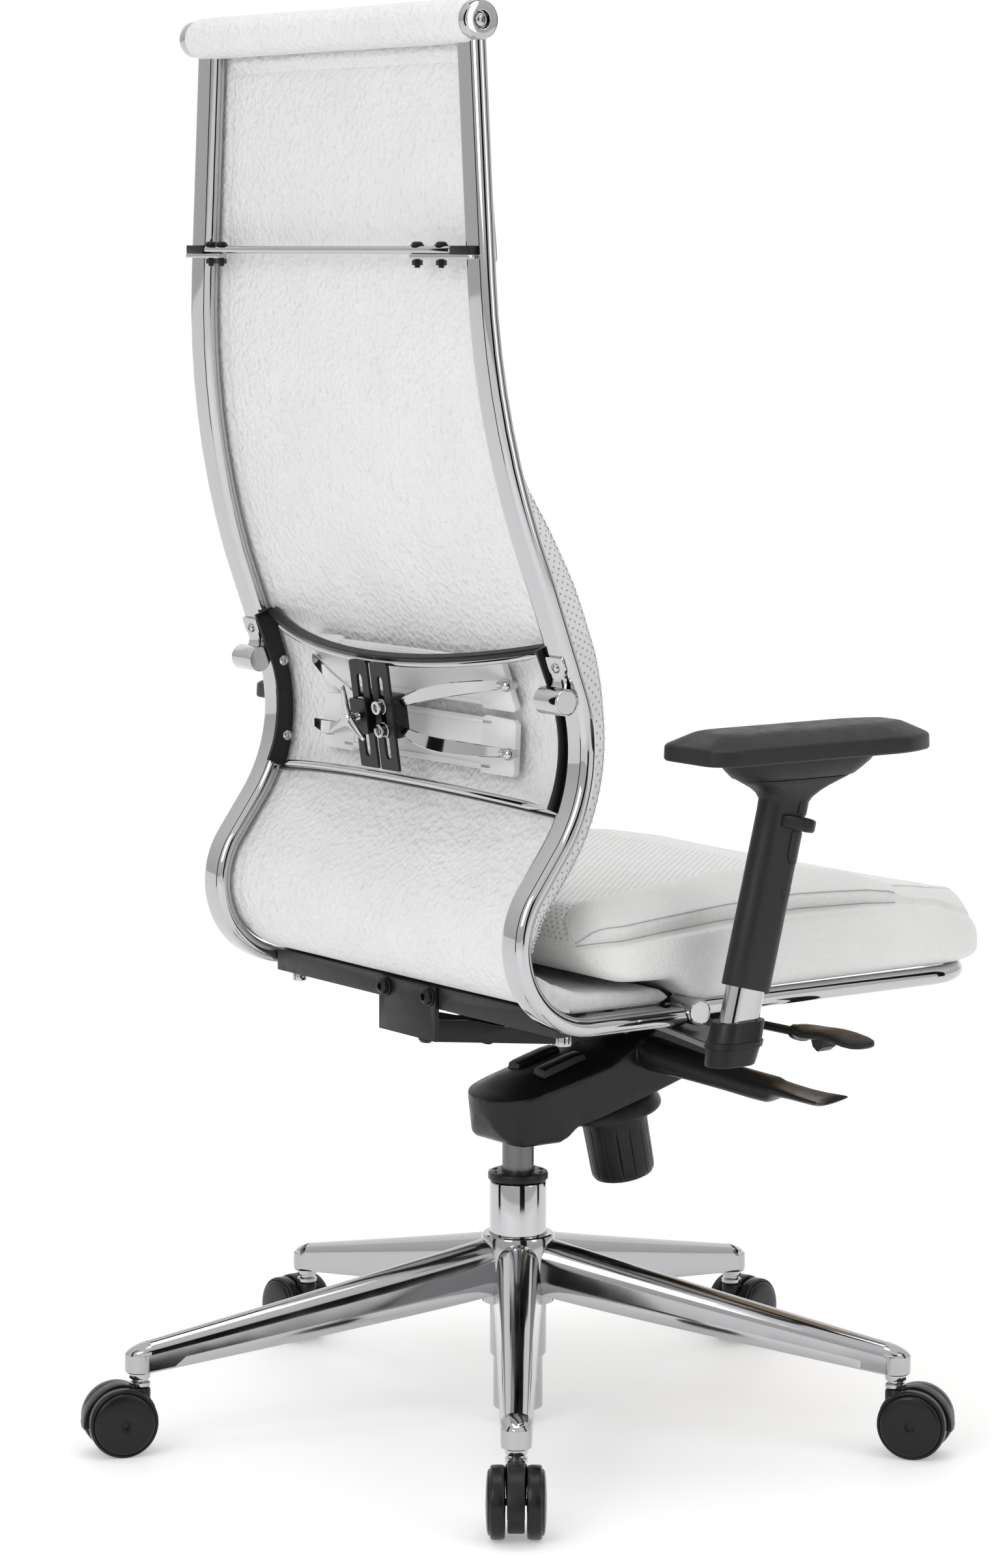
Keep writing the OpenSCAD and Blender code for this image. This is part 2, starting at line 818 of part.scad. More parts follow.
module seat_plate() {
  plate_y = -215;
  color("dimgray") difference() {
    union() {
      translate([-90, plate_y, 408]) cube([180, 190, 4]);
      for (s = sides) {
        translate([s * 58, 0, 0]) side_plate(4) polygon([[plate_y, 409], [plate_y, 362], [plate_y + 43, 362],
          [plate_y + 49, 374], [-40, 396], [-28, 409]]);
      }
    }
    translate([0, front_y - 5, front_z]) rotate([90, 0, 90]) linear_extrude(200, center = true) oval(26, 12);
  }
}

module seat_rail() {
  color("dimgray") difference() {
    translate([-206, stub_y - 13, 388]) cube([412, 25, 24]);
    translate([-200, stub_y - 10, 386]) cube([400, 19, 23]);
  }
  color("silver") for (s = sides) {
    translate([s * 222, stub_y, stub_z]) rod_x(36, 10);
  }
}

module seat_outline(inset) {
  r = 70 - inset;
  w = seat_w - 2 * inset;
  l = seat_d - 2 * inset;
  translate([0, seat_rear - seat_d / 2]) round_rect(w, l, r);
}

// The part of the plan in front of the raised rear underside.
module front_of(y) {
  translate([-300, y - 400]) square([600, 400]);
}

module seat_board() {
  color("burlywood") translate([0, 0, board_z]) linear_extrude(10) intersection() {
    seat_outline(24);
    front_of(-30);
  }
}

module seat_cushion() {
  front = seat_rear - seat_d;
  low = board_z + 0.4;
  high = low + seat_t;
  raised = 434.5;
  color("white") difference() {
    intersection() {
      translate([0, 0, low]) linear_extrude(seat_t + 1) seat_outline(0);
      side_plate(seat_w + 2) polygon([[front - 1, low - 1], [front - 1, high - 50], [front + 30, high - 33],
        [-200, high - 2], [40, high], [seat_rear + 1, high - 20], [seat_rear + 1, raised], [-20, raised],
        [-24, low - 1]]);
    }
    translate([0, 0, board_z - 1]) linear_extrude(11.3) intersection() {
      seat_outline(23.7);
      front_of(-29.7);
    }
  }
}

// ---- armrests ----

// The armrest column's own frame: Z runs up the leaning column.
module at_arm(s) {
  translate([s * arm_x, arm_y, arm_z]) rotate([arm_lean, 0, 0]) children();
}

module arm_feet() {
  color("dimgray") for (s = sides) {
    difference() {
      union() {
        translate([s * 190, -17, 381]) cube([240, 44, 6], center = true);
        translate([s * 82, -31, 396]) cube([12, 16, 24], center = true);
        translate([s * arm_x, -3, 371]) linear_extrude(14) rotate(90) oval(44, 26);
        at_arm(s) translate([0, 0, -52]) linear_extrude(26) rotate(90) oval(40, 24);
      }
      at_arm(s) translate([0, 0, -44]) linear_extrude(60) rotate(90)
        oval(arm_col_l + run_fit, arm_col_w + run_fit);
      translate([0, 0, 300]) cube([900, 300, 141.9], center = true);
    }
  }
}

module arm_tubes() {
  color("silver") for (s = sides) {
    at_arm(s) translate([0, 0, -43.9]) linear_extrude(160) rotate(90) difference() {
      oval(arm_col_l, arm_col_w);
      oval(arm_col_l - 2 * wall, arm_col_w - 2 * wall);
    }
  }
}

module arm_sleeve(s) {
  color("black") difference() {
    union() {
      at_arm(s) linear_extrude(172) rotate(90) oval(44, 28);
      translate([s * arm_x, pad_y + 8, 594]) linear_extrude(12) rotate(90) oval(110, 40);
      translate([s * arm_x, pad_y, 606]) linear_extrude(11.7) rotate(90) oval(150, 62);
      translate([s * arm_x, pad_y, 617]) linear_extrude(4.5) rotate(90) oval(70, 30);
    }
    at_arm(s) translate([0, 0, -1]) linear_extrude(165) rotate(90) oval(arm_col_l + 0.2, arm_col_w + 0.2);
    at_arm(s) translate([s * 14, -8, button_z]) cube([14, 12.6, 22.6], center = true);
    translate([s * arm_x, pad_y, 721]) cube([300, 300, 199], center = true);
  }
}

module arm_button(s) {
  color("black") at_arm(s) translate([s * 14.5, -8, button_z]) {
    cube([8, 12, 22], center = true);
    translate([s * 4.4, -6, 5]) cube([6, 20, 8], center = true);
  }
}

module arm_pad(s) {
  top_in = 6;
  color("black") translate([s * (arm_x + pad_out), pad_y, 0]) difference() {
    union() {
      translate([0, 0, pad_z]) linear_extrude(pad_t - 8) round_rect(pad_w, pad_l, 34);
      translate([0, 0, pad_z + pad_t - 8]) linear_extrude(8) round_rect(pad_w - top_in, pad_l - top_in, 31);
    }
    translate([-s * pad_out, 0, pad_z - 1]) linear_extrude(5.5) rotate(90) oval(126, 30.8);
  }
}

star_base();
lift_cylinder();
lift_collar();
thrust_bearing();
caster_stems();
lift_rod();
lift_tube();
mech_housing();
mech_cover();
pivot_shafts();
tension_spring();
tension_knob();
tilt_lever();
height_lever();
back_tubes();
head_roll();
roll_caps();
crossbar();
crossbar_clamps();
back_panel();
back_cushion();
head_pad();
back_stubs();
lumbar_rails();
lumbar_side_plates();
slotted_plates();
cross_plate();
lever_bracket();
back_lever();
chrome_screws();
black_bolts();
carriage_block();
carriage_bolts();
lumbar_arms();
lumbar_pads();
lumbar_knob();
seat_frame();
seat_plate();
seat_rail();
seat_board();
seat_cushion();
arm_feet();
arm_tubes();
arm_sleeve(-1);  // arm_sleeve_right
arm_sleeve(1);  // arm_sleeve_left
arm_button(-1);  // arm_button_right
arm_button(1);  // arm_button_left
arm_pad(-1);  // arm_pad_right
arm_pad(1);  // arm_pad_left
for (i = [0:legs - 1]) {
  caster_hood(i);
  caster_wheels(i);
}
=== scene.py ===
import json
import math

import bmesh
import bpy
import numpy as np
from mathutils import Matrix, Vector

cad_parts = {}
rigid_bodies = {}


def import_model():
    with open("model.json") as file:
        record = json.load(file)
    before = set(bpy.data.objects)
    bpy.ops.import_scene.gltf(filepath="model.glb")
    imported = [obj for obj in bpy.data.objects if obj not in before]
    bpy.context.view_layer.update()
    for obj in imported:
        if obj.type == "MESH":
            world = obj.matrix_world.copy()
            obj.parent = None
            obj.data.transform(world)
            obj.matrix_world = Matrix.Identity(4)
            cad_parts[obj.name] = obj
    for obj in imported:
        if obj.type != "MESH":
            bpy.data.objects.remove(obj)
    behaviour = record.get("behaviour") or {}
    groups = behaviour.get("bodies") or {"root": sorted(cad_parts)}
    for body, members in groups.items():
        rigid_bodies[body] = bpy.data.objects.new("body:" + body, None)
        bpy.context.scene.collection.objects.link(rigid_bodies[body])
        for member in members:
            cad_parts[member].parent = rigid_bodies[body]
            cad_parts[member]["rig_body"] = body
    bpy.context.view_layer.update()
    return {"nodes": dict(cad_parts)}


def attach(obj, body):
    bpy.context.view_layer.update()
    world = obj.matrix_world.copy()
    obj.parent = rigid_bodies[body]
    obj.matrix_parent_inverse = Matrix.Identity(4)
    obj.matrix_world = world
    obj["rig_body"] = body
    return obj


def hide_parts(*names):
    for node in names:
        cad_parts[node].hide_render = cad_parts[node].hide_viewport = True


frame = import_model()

MM = 0.001
cad = frame["nodes"]
SIDES = {"right": -1, "left": 1}
LEGS = 5
LEG_TURN = 360 / LEGS


# ---- materials ----

class Shader:
    """One procedural material, built from small node helpers."""

    def __init__(self, name):
        self.mat = bpy.data.materials.new(name)
        self.mat.use_nodes = True
        self.nodes = self.mat.node_tree.nodes
        self.links = self.mat.node_tree.links
        self.bsdf = self.nodes["Principled BSDF"]
        self.coord = None

    def texture(self, kind, output, **inputs):
        if self.coord is None:
            self.coord = self.nodes.new("ShaderNodeTexCoord").outputs["Object"]
        tex = self.nodes.new(kind)
        for key, value in inputs.items():
            tex.inputs[key.title()].default_value = value
        self.links.new(self.coord, tex.inputs["Vector"])
        return tex.outputs[output]

    def noise(self, scale, detail=3.0):
        return self.texture("ShaderNodeTexNoise", "Fac", scale=scale, detail=detail)

    def cells(self, scale):
        return self.texture("ShaderNodeTexVoronoi", "Distance", scale=scale)

    def spread(self, value, low, high, start=0.3, end=0.7):
        """Maps a value that varies over the surface to a range."""
        ramp = self.nodes.new("ShaderNodeMapRange")
        for socket, number in (("From Min", start), ("From Max", end), ("To Min", low), ("To Max", high)):
            ramp.inputs[socket].default_value = number
        self.links.new(value, ramp.inputs["Value"])
        return ramp.outputs["Result"]

    def math(self, operation, a, b=None):
        node = self.nodes.new("ShaderNodeMath")
        node.operation = operation
        for socket, value in zip(node.inputs, (a, b)):
            if value is None:
                continue
            if isinstance(value, (int, float)):
                socket.default_value = value
            else:
                self.links.new(value, socket)
        return node.outputs[0]

    def tint(self, value, dark, light):
        """A colour between two: dark is a colour or another node's output, light is a colour."""
        mix = self.nodes.new("ShaderNodeMix")
        mix.data_type = "RGBA"
        if isinstance(dark, tuple):
            mix.inputs["A"].default_value = (*dark, 1)
        else:
            self.links.new(dark, mix.inputs["A"])
        mix.inputs["B"].default_value = (*light, 1)
        self.links.new(value, mix.inputs["Factor"])
        return mix.outputs["Result"]

    def set(self, **values):
        for key, value in values.items():
            socket = self.bsdf.inputs[key.replace("_", " ").title().replace("Ior", "IOR")]
            if isinstance(value, (int, float, tuple)):
                socket.default_value = value
            else:
                self.links.new(value, socket)

    def rough(self, scale, detail, low, high):
        self.set(roughness=self.spread(self.noise(scale, detail), low, high))

    def bump(self, *layers):
        """Each layer is (height, distance in metres, strength)."""
        normal = None
        for height, distance, strength in layers:
            node = self.nodes.new("ShaderNodeBump")
            node.inputs["Distance"].default_value = distance
            node.inputs["Strength"].default_value = strength
            self.links.new(height, node.inputs["Height"])
            if normal is not None:
                self.links.new(normal, node.inputs["Normal"])
            normal = node.outputs["Normal"]
        self.links.new(normal, self.bsdf.inputs["Normal"])


def brighter(color, factor):
    return tuple(c * factor for c in color)


def metal_material(name, color, metallic, rough, bump):
    s = Shader(name)
    s.set(base_color=(*color, 1), metallic=metallic)
    s.rough(*rough)
    scale, detail, distance, strength = bump
    s.bump((s.noise(scale, detail), distance, strength))
    return s.mat


def chrome_material():
    return metal_material("chrome", (0.52, 0.52, 0.53), 1.0, (30, 4, 0.045, 0.085), (9, 1, 0.0006, 0.12))


def aluminium_material():
    return metal_material("polished_aluminium", (0.45, 0.45, 0.46), 1.0, (22, 5, 0.07, 0.13),
                          (14, 2, 0.0012, 0.18))


def steel_material():
    return metal_material("steel", (0.42, 0.42, 0.43), 1.0, (180, 4, 0.24, 0.38), (900, 2, 0.00002, 0.5))


def dark_steel_material():
    return metal_material("dark_steel", (0.16, 0.16, 0.165), 0.9, (120, 4, 0.26, 0.36),
                          (700, 2, 0.00002, 0.5))


def coat_material(name, color, rough):
    s = Shader(name)
    s.set(base_color=s.tint(s.noise(55, 4), color, brighter(color, 1.25)), specular_ior_level=0.3)
    s.rough(140, 5, rough - 0.06, rough + 0.08)
    s.bump((s.noise(1500, 3), 0.00008, 0.45))
    return s.mat


def plastic_material(name, color, rough, grain=1100, depth=0.00006):
    s = Shader(name)
    s.set(base_color=s.tint(s.noise(35, 5), color, brighter(color, 1.3)), specular_ior_level=0.3)
    s.rough(80, 5, rough - 0.05, rough + 0.09)
    s.bump((s.cells(grain), depth, 0.5), (s.noise(18, 2), 0.0008, 0.12))
    return s.mat


def nearest_hole(s, pitch):
    """The distance to the nearest hole of a staggered pattern, in pitches, from the leather's own UV."""
    split = s.nodes.new("ShaderNodeSeparateXYZ")
    s.links.new(s.nodes.new("ShaderNodeTexCoord").outputs["UV"], split.inputs[0])
    rows = []
    for shift in (0.0, 0.5):
        squares = []
        for axis in ("X", "Y"):
            cell = s.math("FRACT", s.math("ADD", s.math("DIVIDE", split.outputs[axis], pitch), shift))
            squares.append(s.math("POWER", s.math("SUBTRACT", cell, 0.5), 2.0))
        rows.append(s.math("SQRT", s.math("ADD", *squares)))
    return s.math("MINIMUM", *rows)


def leather_material(name, holes=False, color=(0.77, 0.77, 0.762), soft=0.0, grain=(420, 0.0007, 0.6)):
    s = Shader(name)
    scale, deep, strong = grain
    base = s.tint(s.spread(s.noise(16, 3), 0.0, 1.0), brighter(color, 0.955), color)
    layers = [(s.noise(11, 2), 0.004, 0.14 + soft), (s.cells(scale), deep, strong),
              (s.noise(scale * 0.7, 3), deep * 1.6, strong * 0.8), (s.noise(1700, 2), 0.00012, 0.35)]
    if holes:
        rim = 0.085
        near = nearest_hole(s, 0.0078)
        # The holes are painted dark grey: painted shade inside the perforation holes, whose depth is only a
        # bump.
        base = s.tint(s.spread(near, 1.0, 0.0, rim, 0.14), base, (0.30, 0.30, 0.30))
        layers.append((s.spread(near, 0.0, 1.0, rim, 0.2), 0.0006, 0.6))
    s.set(base_color=base)
    s.rough(60, 4, 0.42, 0.56)
    s.bump(*layers)
    return s.mat


def pad_material():
    s = Shader("pad_plastic")
    s.set(base_color=s.tint(s.noise(14, 3), (0.74, 0.74, 0.745), (0.81, 0.81, 0.815)))
    s.rough(40, 4, 0.28, 0.4)
    s.bump((s.noise(10, 2), 0.003, 0.2), (s.noise(700, 2), 0.00005, 0.4))
    return s.mat


def pile_material():
    s = Shader("pile")
    s.set(base_color=s.tint(s.noise(150, 4), (0.66, 0.655, 0.65), (0.84, 0.835, 0.83)))
    s.rough(90, 3, 0.85, 0.95)
    s.bump((s.noise(520, 4), 0.0012, 0.8))
    return s.mat


def wood_material():
    s = Shader("plywood")
    s.set(base_color=s.tint(s.noise(24, 6), (0.42, 0.29, 0.16), (0.62, 0.47, 0.3)))
    s.rough(70, 4, 0.5, 0.7)
    s.bump((s.noise(160, 4), 0.0004, 0.4))
    return s.mat


def thread_material(name, dark, light):
    s = Shader(name)
    s.set(base_color=s.tint(s.noise(800, 2), (dark,) * 3, (light,) * 3))
    s.rough(300, 2, 0.6, 0.8)
    s.bump((s.noise(2400, 2), 0.0002, 0.5))
    return s.mat


CHROME = chrome_material()
ALUMINIUM = aluminium_material()
STEEL = steel_material()
DARK_STEEL = dark_steel_material()
BLACK_COAT = coat_material("black_coat", (0.006, 0.006, 0.0063), 0.31)
GREY_COAT = coat_material("grey_coat", (0.022, 0.022, 0.023), 0.38)
PLASTIC = plastic_material("black_plastic", (0.0075, 0.0075, 0.0078), 0.32)
ARM_PLASTIC = plastic_material("arm_plastic", (0.013, 0.013, 0.0134), 0.38, 900, 0.00008)
PAD_FOAM = plastic_material("arm_pad_foam", (0.014, 0.014, 0.0146), 0.46, 480, 0.0003)
NYLON = plastic_material("wheel_nylon", (0.006, 0.006, 0.0063), 0.24, 1400, 0.00004)
LEATHER = leather_material("white_leather")
PERFORATED = leather_material("perforated_leather", holes=True)
SLING = leather_material("sling_leather", color=(0.78, 0.78, 0.775), soft=0.04, grain=(190, 0.0016, 0.9))
PAD_PLASTIC = pad_material()
PILE = pile_material()
WOOD = wood_material()
THREAD = thread_material("thread", 0.76, 0.88)
# Dark grey seam thread for the seat: its dark colour is painted shade in the seam grooves.
SEAM_SHADE_THREAD = thread_material("seam_thread_painted_shade", 0.34, 0.46)


# ---- mesh helpers; every length here is in millimetres ----

def place(name, mesh, body, stands_for=(), angle=35):
    """An object from a mesh, smooth but for edges sharper than the angle, riding on a body."""
    bm = bmesh.new()
    bm.from_mesh(mesh)
    bmesh.ops.recalc_face_normals(bm, faces=bm.faces)
    bm.to_mesh(mesh)
    bm.free()
    mesh.shade_smooth()
    mesh.set_sharp_from_angle(angle=math.radians(angle))
    obj = bpy.data.objects.new(name, mesh)
    bpy.context.scene.collection.objects.link(obj)
    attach(obj, body)
    if stands_for:
        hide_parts(*stands_for)
    return obj


class Parts:
    """Gathers the points and faces of several pieces that make one object."""

    def __init__(self):
        self.verts, self.faces, self.index = [], [], []

    def add(self, shape, matrix=Matrix()):
        verts, faces = shape
        start = len(self.verts)
        self.verts += [tuple(matrix @ Vector(v)) for v in verts]
        self.faces += [[start + i for i in f] for f in faces]
        self.index += [0] * len(faces)
        return self

    def build(self, name, materials, body, slot, stands_for=(), angle=35, uvs=None):
        """The object: one material, or several that self.index picks from."""
        mesh = bpy.data.meshes.new(name)
        mesh.from_pydata((np.asarray(self.verts, float) * MM).tolist(), [], self.faces)
        for m in materials if isinstance(materials, list) else [materials]:
            mesh.materials.append(m)
        mesh.polygons.foreach_set("material_index", self.index)
        if uvs is not None:
            layer = mesh.uv_layers.new(name="UVMap")
            loops = np.zeros(len(mesh.loops), int)
            mesh.loops.foreach_get("vertex_index", loops)
            layer.data.foreach_set("uv", (np.asarray(uvs, float)[loops] * MM).ravel())
        return place(name, mesh, body, stands_for, angle)


def circle(count):
    """Angles evenly round a circle."""
    return [2 * math.pi * k / count for k in range(count)]


def quarter(steps):
    """Angles from 0 to a right angle."""
    return [math.pi / 2 * k / steps for k in range(steps + 1)]


def signed(value, power):
    """A power that keeps its sign."""
    return math.copysign(abs(value) ** power, value)


def look_up(table, x):
    """The value at x in a table of (x, value) pairs, straight between them."""
    return float(np.interp(x, *zip(*sorted(table))))


def mirrored(half):
    """Half an outline and its mirror image, without a second copy of the points on the middle line."""
    return half + [(-x, z) for x, z in reversed(half) if x]


def bevelled(x0, x1, low, high, cut, drop):
    """A box's outline with its two upper corners cut."""
    return [(x0, low), (x1, low), (x1, high - drop), (x1 - cut, high), (x0 + cut, high), (x0, high - drop)]


def loft(rings, loop=False):
    """Points and faces of a skin over closed rings with equal numbers of points."""
    n, m = len(rings[0]), len(rings)
    verts = [tuple(p) for ring in rings for p in ring]
    faces = []
    for i in range(m if loop else m - 1):
        a, b = i * n, ((i + 1) % m) * n
        faces += [[a + j, a + (j + 1) % n, b + (j + 1) % n, b + j] for j in range(n)]
    if not loop:
        faces.append(list(range(n))[::-1])
        faces.append([(m - 1) * n + j for j in range(n)])
    return verts, faces


def lathe(profile, seg=64):
    """A body turned about Z from (radius, height) pairs. Radius 0 is not used: ends are capped."""
    return loft([[(r * math.cos(a), r * math.sin(a), z) for a in circle(seg)] for r, z in profile])


def ring_lathe(profile, seg=64):
    """A ring turned about Z from a closed outline of (radius, height) pairs."""
    return loft([[(r * math.cos(a), r * math.sin(a), z) for r, z in profile] for a in circle(seg)], loop=True)


def inset(pts, d):
    """An outline drawn in by a distance, with a limit at sharp corners."""
    out = []
    for i, b in enumerate(pts):
        normals = []
        for e in (b - pts[i - 1], pts[(i + 1) % len(pts)] - b):
            normals.append(np.array([e[1], -e[0]]) / (np.linalg.norm(e) + 1e-9))
        mid = normals[0] + normals[1]
        out.append(b - mid / max(0.35, mid @ mid / 2) / 2 * d)
    return out


def prism(outline, low, high, bevel=0.0, steps=2):
    """An outline in XY raised from low to high, with its rims rounded."""
    pts = np.array(outline, float)
    if sum(pts[i - 1][0] * pts[i][1] - pts[i][0] * pts[i - 1][1] for i in range(len(pts))) < 0:
        pts = pts[::-1]
    levels = [(bevel * (1 - math.sin(t)), low + bevel * (1 - math.cos(t))) for t in quarter(steps)]
    levels += [(bevel * (1 - math.cos(t)), high - bevel * (1 - math.sin(t))) for t in quarter(steps)]
    return loft([[(*p, z) for p in inset(pts, d)] for d, z in levels])


def oval_points(w, t, steps=10):
    out = []
    for s in (1, -1):
        for i in range(steps + 1):
            a = s * (math.pi * i / steps - math.pi / 2)
            out.append((s * (w - t) / 2 + s * t / 2 * math.cos(a), t / 2 * math.sin(a)))
    return out


def rect_points(w, l, r, steps=6, x=0.0, y=0.0):
    """A rectangle with round corners."""
    out = []
    for sx, sy, start in ((1, 1, 0), (-1, 1, 90), (-1, -1, 180), (1, -1, 270)):
        for i in range(steps + 1):
            a = math.radians(start + 90 * i / steps)
            out.append((x + sx * (w / 2 - r) + r * math.cos(a), y + sy * (l / 2 - r) + r * math.sin(a)))
    return out


def at(x=0.0, y=0.0, z=0.0):
    return Matrix.Translation((x, y, z))


def turn(axis, degrees):
    return Matrix.Rotation(math.radians(degrees), 4, axis)


def frames(steps, fine=3.0, run_step=12.0):
    """Frames along a path of [straight, radius, turn, roll] steps, heading +Z and bending towards +Y."""
    m = Matrix()
    out = [m.copy()]
    for run, radius, bend, roll in steps:
        count = max(1, round(run / run_step)) if run > 0 else 0
        moves = [at(0, 0, run / count)] * count if count else []
        if bend:
            way = math.copysign(radius, bend)
            count = max(2, round(abs(bend) / fine))
            bent = turn("X", -bend / count)
            moves += [turn("Z", roll) @ at(0, way, 0) @ bent @ at(0, -way, 0) @ turn("Z", -roll)] * count
        for move in moves:
            m = m @ move
            out.append(m.copy())
    return out


def on_frame(m, outline):
    """An outline of (x, y) pairs, or of points, set in the frame m."""
    return [tuple(m @ Vector((*p, 0)[:3])) for p in outline]


def tube_along(points, radius, seg=16, taper=None):
    """A round bar through points, with turning kept small between rings."""
    pts = [Vector(p) for p in points]
    rings = []
    ref = None
    for i, p in enumerate(pts):
        d = (pts[min(i + 1, len(pts) - 1)] - pts[max(i - 1, 0)]).normalized()
        if ref is None:
            ref = d.orthogonal().normalized()
        ref = (ref - d * ref.dot(d)).normalized()
        side = d.cross(ref)
        r = radius if taper is None else radius * taper[i]
        rings.append([tuple(p + r * (math.cos(a) * ref + math.sin(a) * side)) for a in circle(seg)])
    return loft(rings)


def refine(node, material, width):
    """A CAD node's own shape with merged points and softened edges, standing for it."""
    bm = bmesh.new()
    bm.from_mesh(cad[node].data)
    bmesh.ops.remove_doubles(bm, verts=bm.verts, dist=2e-6)
    bmesh.ops.dissolve_limit(bm, angle_limit=math.radians(1.0), verts=bm.verts, edges=bm.edges)
    least = math.radians(34)
    sharp = [e for e in bm.edges if len(e.link_faces) == 2 and e.calc_face_angle(0) > least]
    if width > 0:
        bmesh.ops.bevel(bm, geom=sharp, offset=width * MM, segments=2, profile=0.6, affect="EDGES",
                        clamp_overlap=True)
    mesh = bpy.data.meshes.new(node + "_shape")
    bm.to_mesh(mesh)
    bm.free()
    if "custom_normal" in mesh.attributes:
        mesh.attributes.remove(mesh.attributes["custom_normal"])
    mesh.materials.clear()
    mesh.materials.append(material)
    place(node + "_shape", mesh, cad[node]["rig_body"], [node], 30)


# ---- side profile of the back ----

TUBE_X, TUBE_W, TUBE_T = 228.6, 30.0, 15.0
RAIL_Z, LOW_START, LOW_END = 397.0, 2.45, 95.5
HIP_R, HIP_TURN, HIP_RUN = 71.0, 126.0, 42.9
LUMBAR_R, LUMBAR_TURN, MID_RUN = 137.1, 56.0, 90.0
LUMBAR_Y, LUMBAR_Z = 238.6, 625.0
KINK_R, LEAN, KINK_Z, KINK_RISE = 150.0, 4.6, 751.6, 12
UPPER_R, UPPER_TURN, TOP_RUN = 700.0, 20.0, 190.0
STAND = at(0, LOW_START, RAIL_Z) @ turn("X", -90)


def back_steps(*middle):
    """The tubes' path as steps for frames(), with the given steps above the lumbar bend."""
    low = [(LOW_END - LOW_START, HIP_R, -HIP_TURN, 0), (HIP_RUN, LUMBAR_R, LUMBAR_TURN, 0)]
    return low + list(middle) + [(TOP_RUN, 0, 0, 0)]


def side_curve():
    """Y, Z and the heading in degrees at every few millimetres along the tubes' side view."""
    rows = []
    for m in frames(back_steps((MID_RUN + KINK_RISE, UPPER_R, -UPPER_TURN, 0)), 1.5, 5.0):
        p = STAND @ m
        d = p.to_3x3() @ Vector((0, 0, 1))
        rows.append((p.translation.y, p.translation.z, math.degrees(math.atan2(d.z, d.y))))
    rows = np.array(rows)
    length = np.concatenate([[0], np.cumsum(np.hypot(*np.diff(rows[:, :2], axis=0).T))])
    return length, rows


ARC, CURVE = side_curve()


def on_curve(s):
    """Y, Z and the heading at a distance along the side curve."""
    return [float(np.interp(s, ARC, CURVE[:, k])) for k in range(3)]


def on_back(s, off, x):
    """A point on the back: s along the side curve, off to the rear of it, x across."""
    y, z, heading = on_curve(s)
    h = math.radians(heading)
    return (x, y + off * math.sin(h), z - off * math.cos(h))


def half_width(z):
    return TUBE_X - 0.0779 * max(0.0, z - KINK_Z)


def at_lumbar(heading):
    return at(0, LUMBAR_Y, LUMBAR_Z) @ turn("X", heading - 90) @ at(0, -LUMBAR_R, 0)


# ---- base and casters ----

STEM_R, TRAIL, WHEEL_R = 342.0, 18.0, 30.0
COLUMN_FOOT = 117


def leg_section(r):
    """A leg's outline across it at a distance from the middle, as (side, height) pairs."""
    t = min(1.0, max(0.0, (r - 33) / (STEM_R - 33)))
    half = 21.5 + (12.6 - 21.5) * t ** 0.9
    low, top = 118 - 48 * t ** 0.92, 165 - 70 * t ** 0.97
    depth, skirt, wall = top - low, 0.42, 4.2
    rows = []
    for a in quarter(8):
        rows.append((half * 0.86 * math.sin(a) ** 1.15, top - depth * skirt * (1 - math.cos(a)) ** 1.1))
    rows += [(half * 0.93, low + depth * 0.30), (half, low + 1.6), (half - 0.7, low),
             (half - wall + 0.6, low), (half - wall, low + 1.5), (half - wall - 1.0, low + depth * 0.26),
             (half * 0.45, low + depth * 0.55), (0.0, low + depth * 0.62)]
    return mirrored(rows)


def leg_nose():
    """The rounded end of a leg over its stem socket."""
    slope, half, thick = 0.24, 12.9, 7.2
    rings = []
    for k in range(9):
        a = math.pi / 2 * k / 8.4
        r = STEM_R - 8 + 20.5 * math.sin(a)
        middle = 87.6 - slope * (r - STEM_R)
        rings.append([(r, half * math.cos(a) * math.cos(b), middle + thick * math.cos(a) ** 0.8 * math.sin(b))
                      for b in circle(32)])
    return loft(rings)


def star_base():
    parts = Parts()
    socket = [(5.2, 78), (5.2, 70), (11.6, 70), (12.6, 71), (12.8, 76), (12.6, 86), (10, 89), (0.5, 90)]
    leg = [[(r, x, z) for x, z in leg_section(r)] for r in np.linspace(22, STEM_R - 6, 30)]
    for i in range(LEGS):
        spin = turn("Z", LEG_TURN * i)
        parts.add(loft(leg), spin)
        parts.add(lathe(socket, 40), spin @ at(STEM_R))
        parts.add(leg_nose(), spin)
    hub = [(25.05, COLUMN_FOOT), (25.05, 168.5), (26.0, 169.6), (30.0, 169.6), (31.6, 168.6), (32.4, 166.5),
           (32.7, 150), (33.0, 130), (33.0, 118.2), (32.0, 116.6), (27.5, 116.2)]
    parts.add(ring_lathe(hub, 72))
    lip = [(29.5, -8), (32.0, -8), (32.3, 1), (29.5, 1)]
    parts.add(ring_lathe(lip), at(0, 0, COLUMN_FOOT))
    parts.build("star_base_casting", ALUMINIUM, "base", "polished_aluminium", ["star_base"], 32)


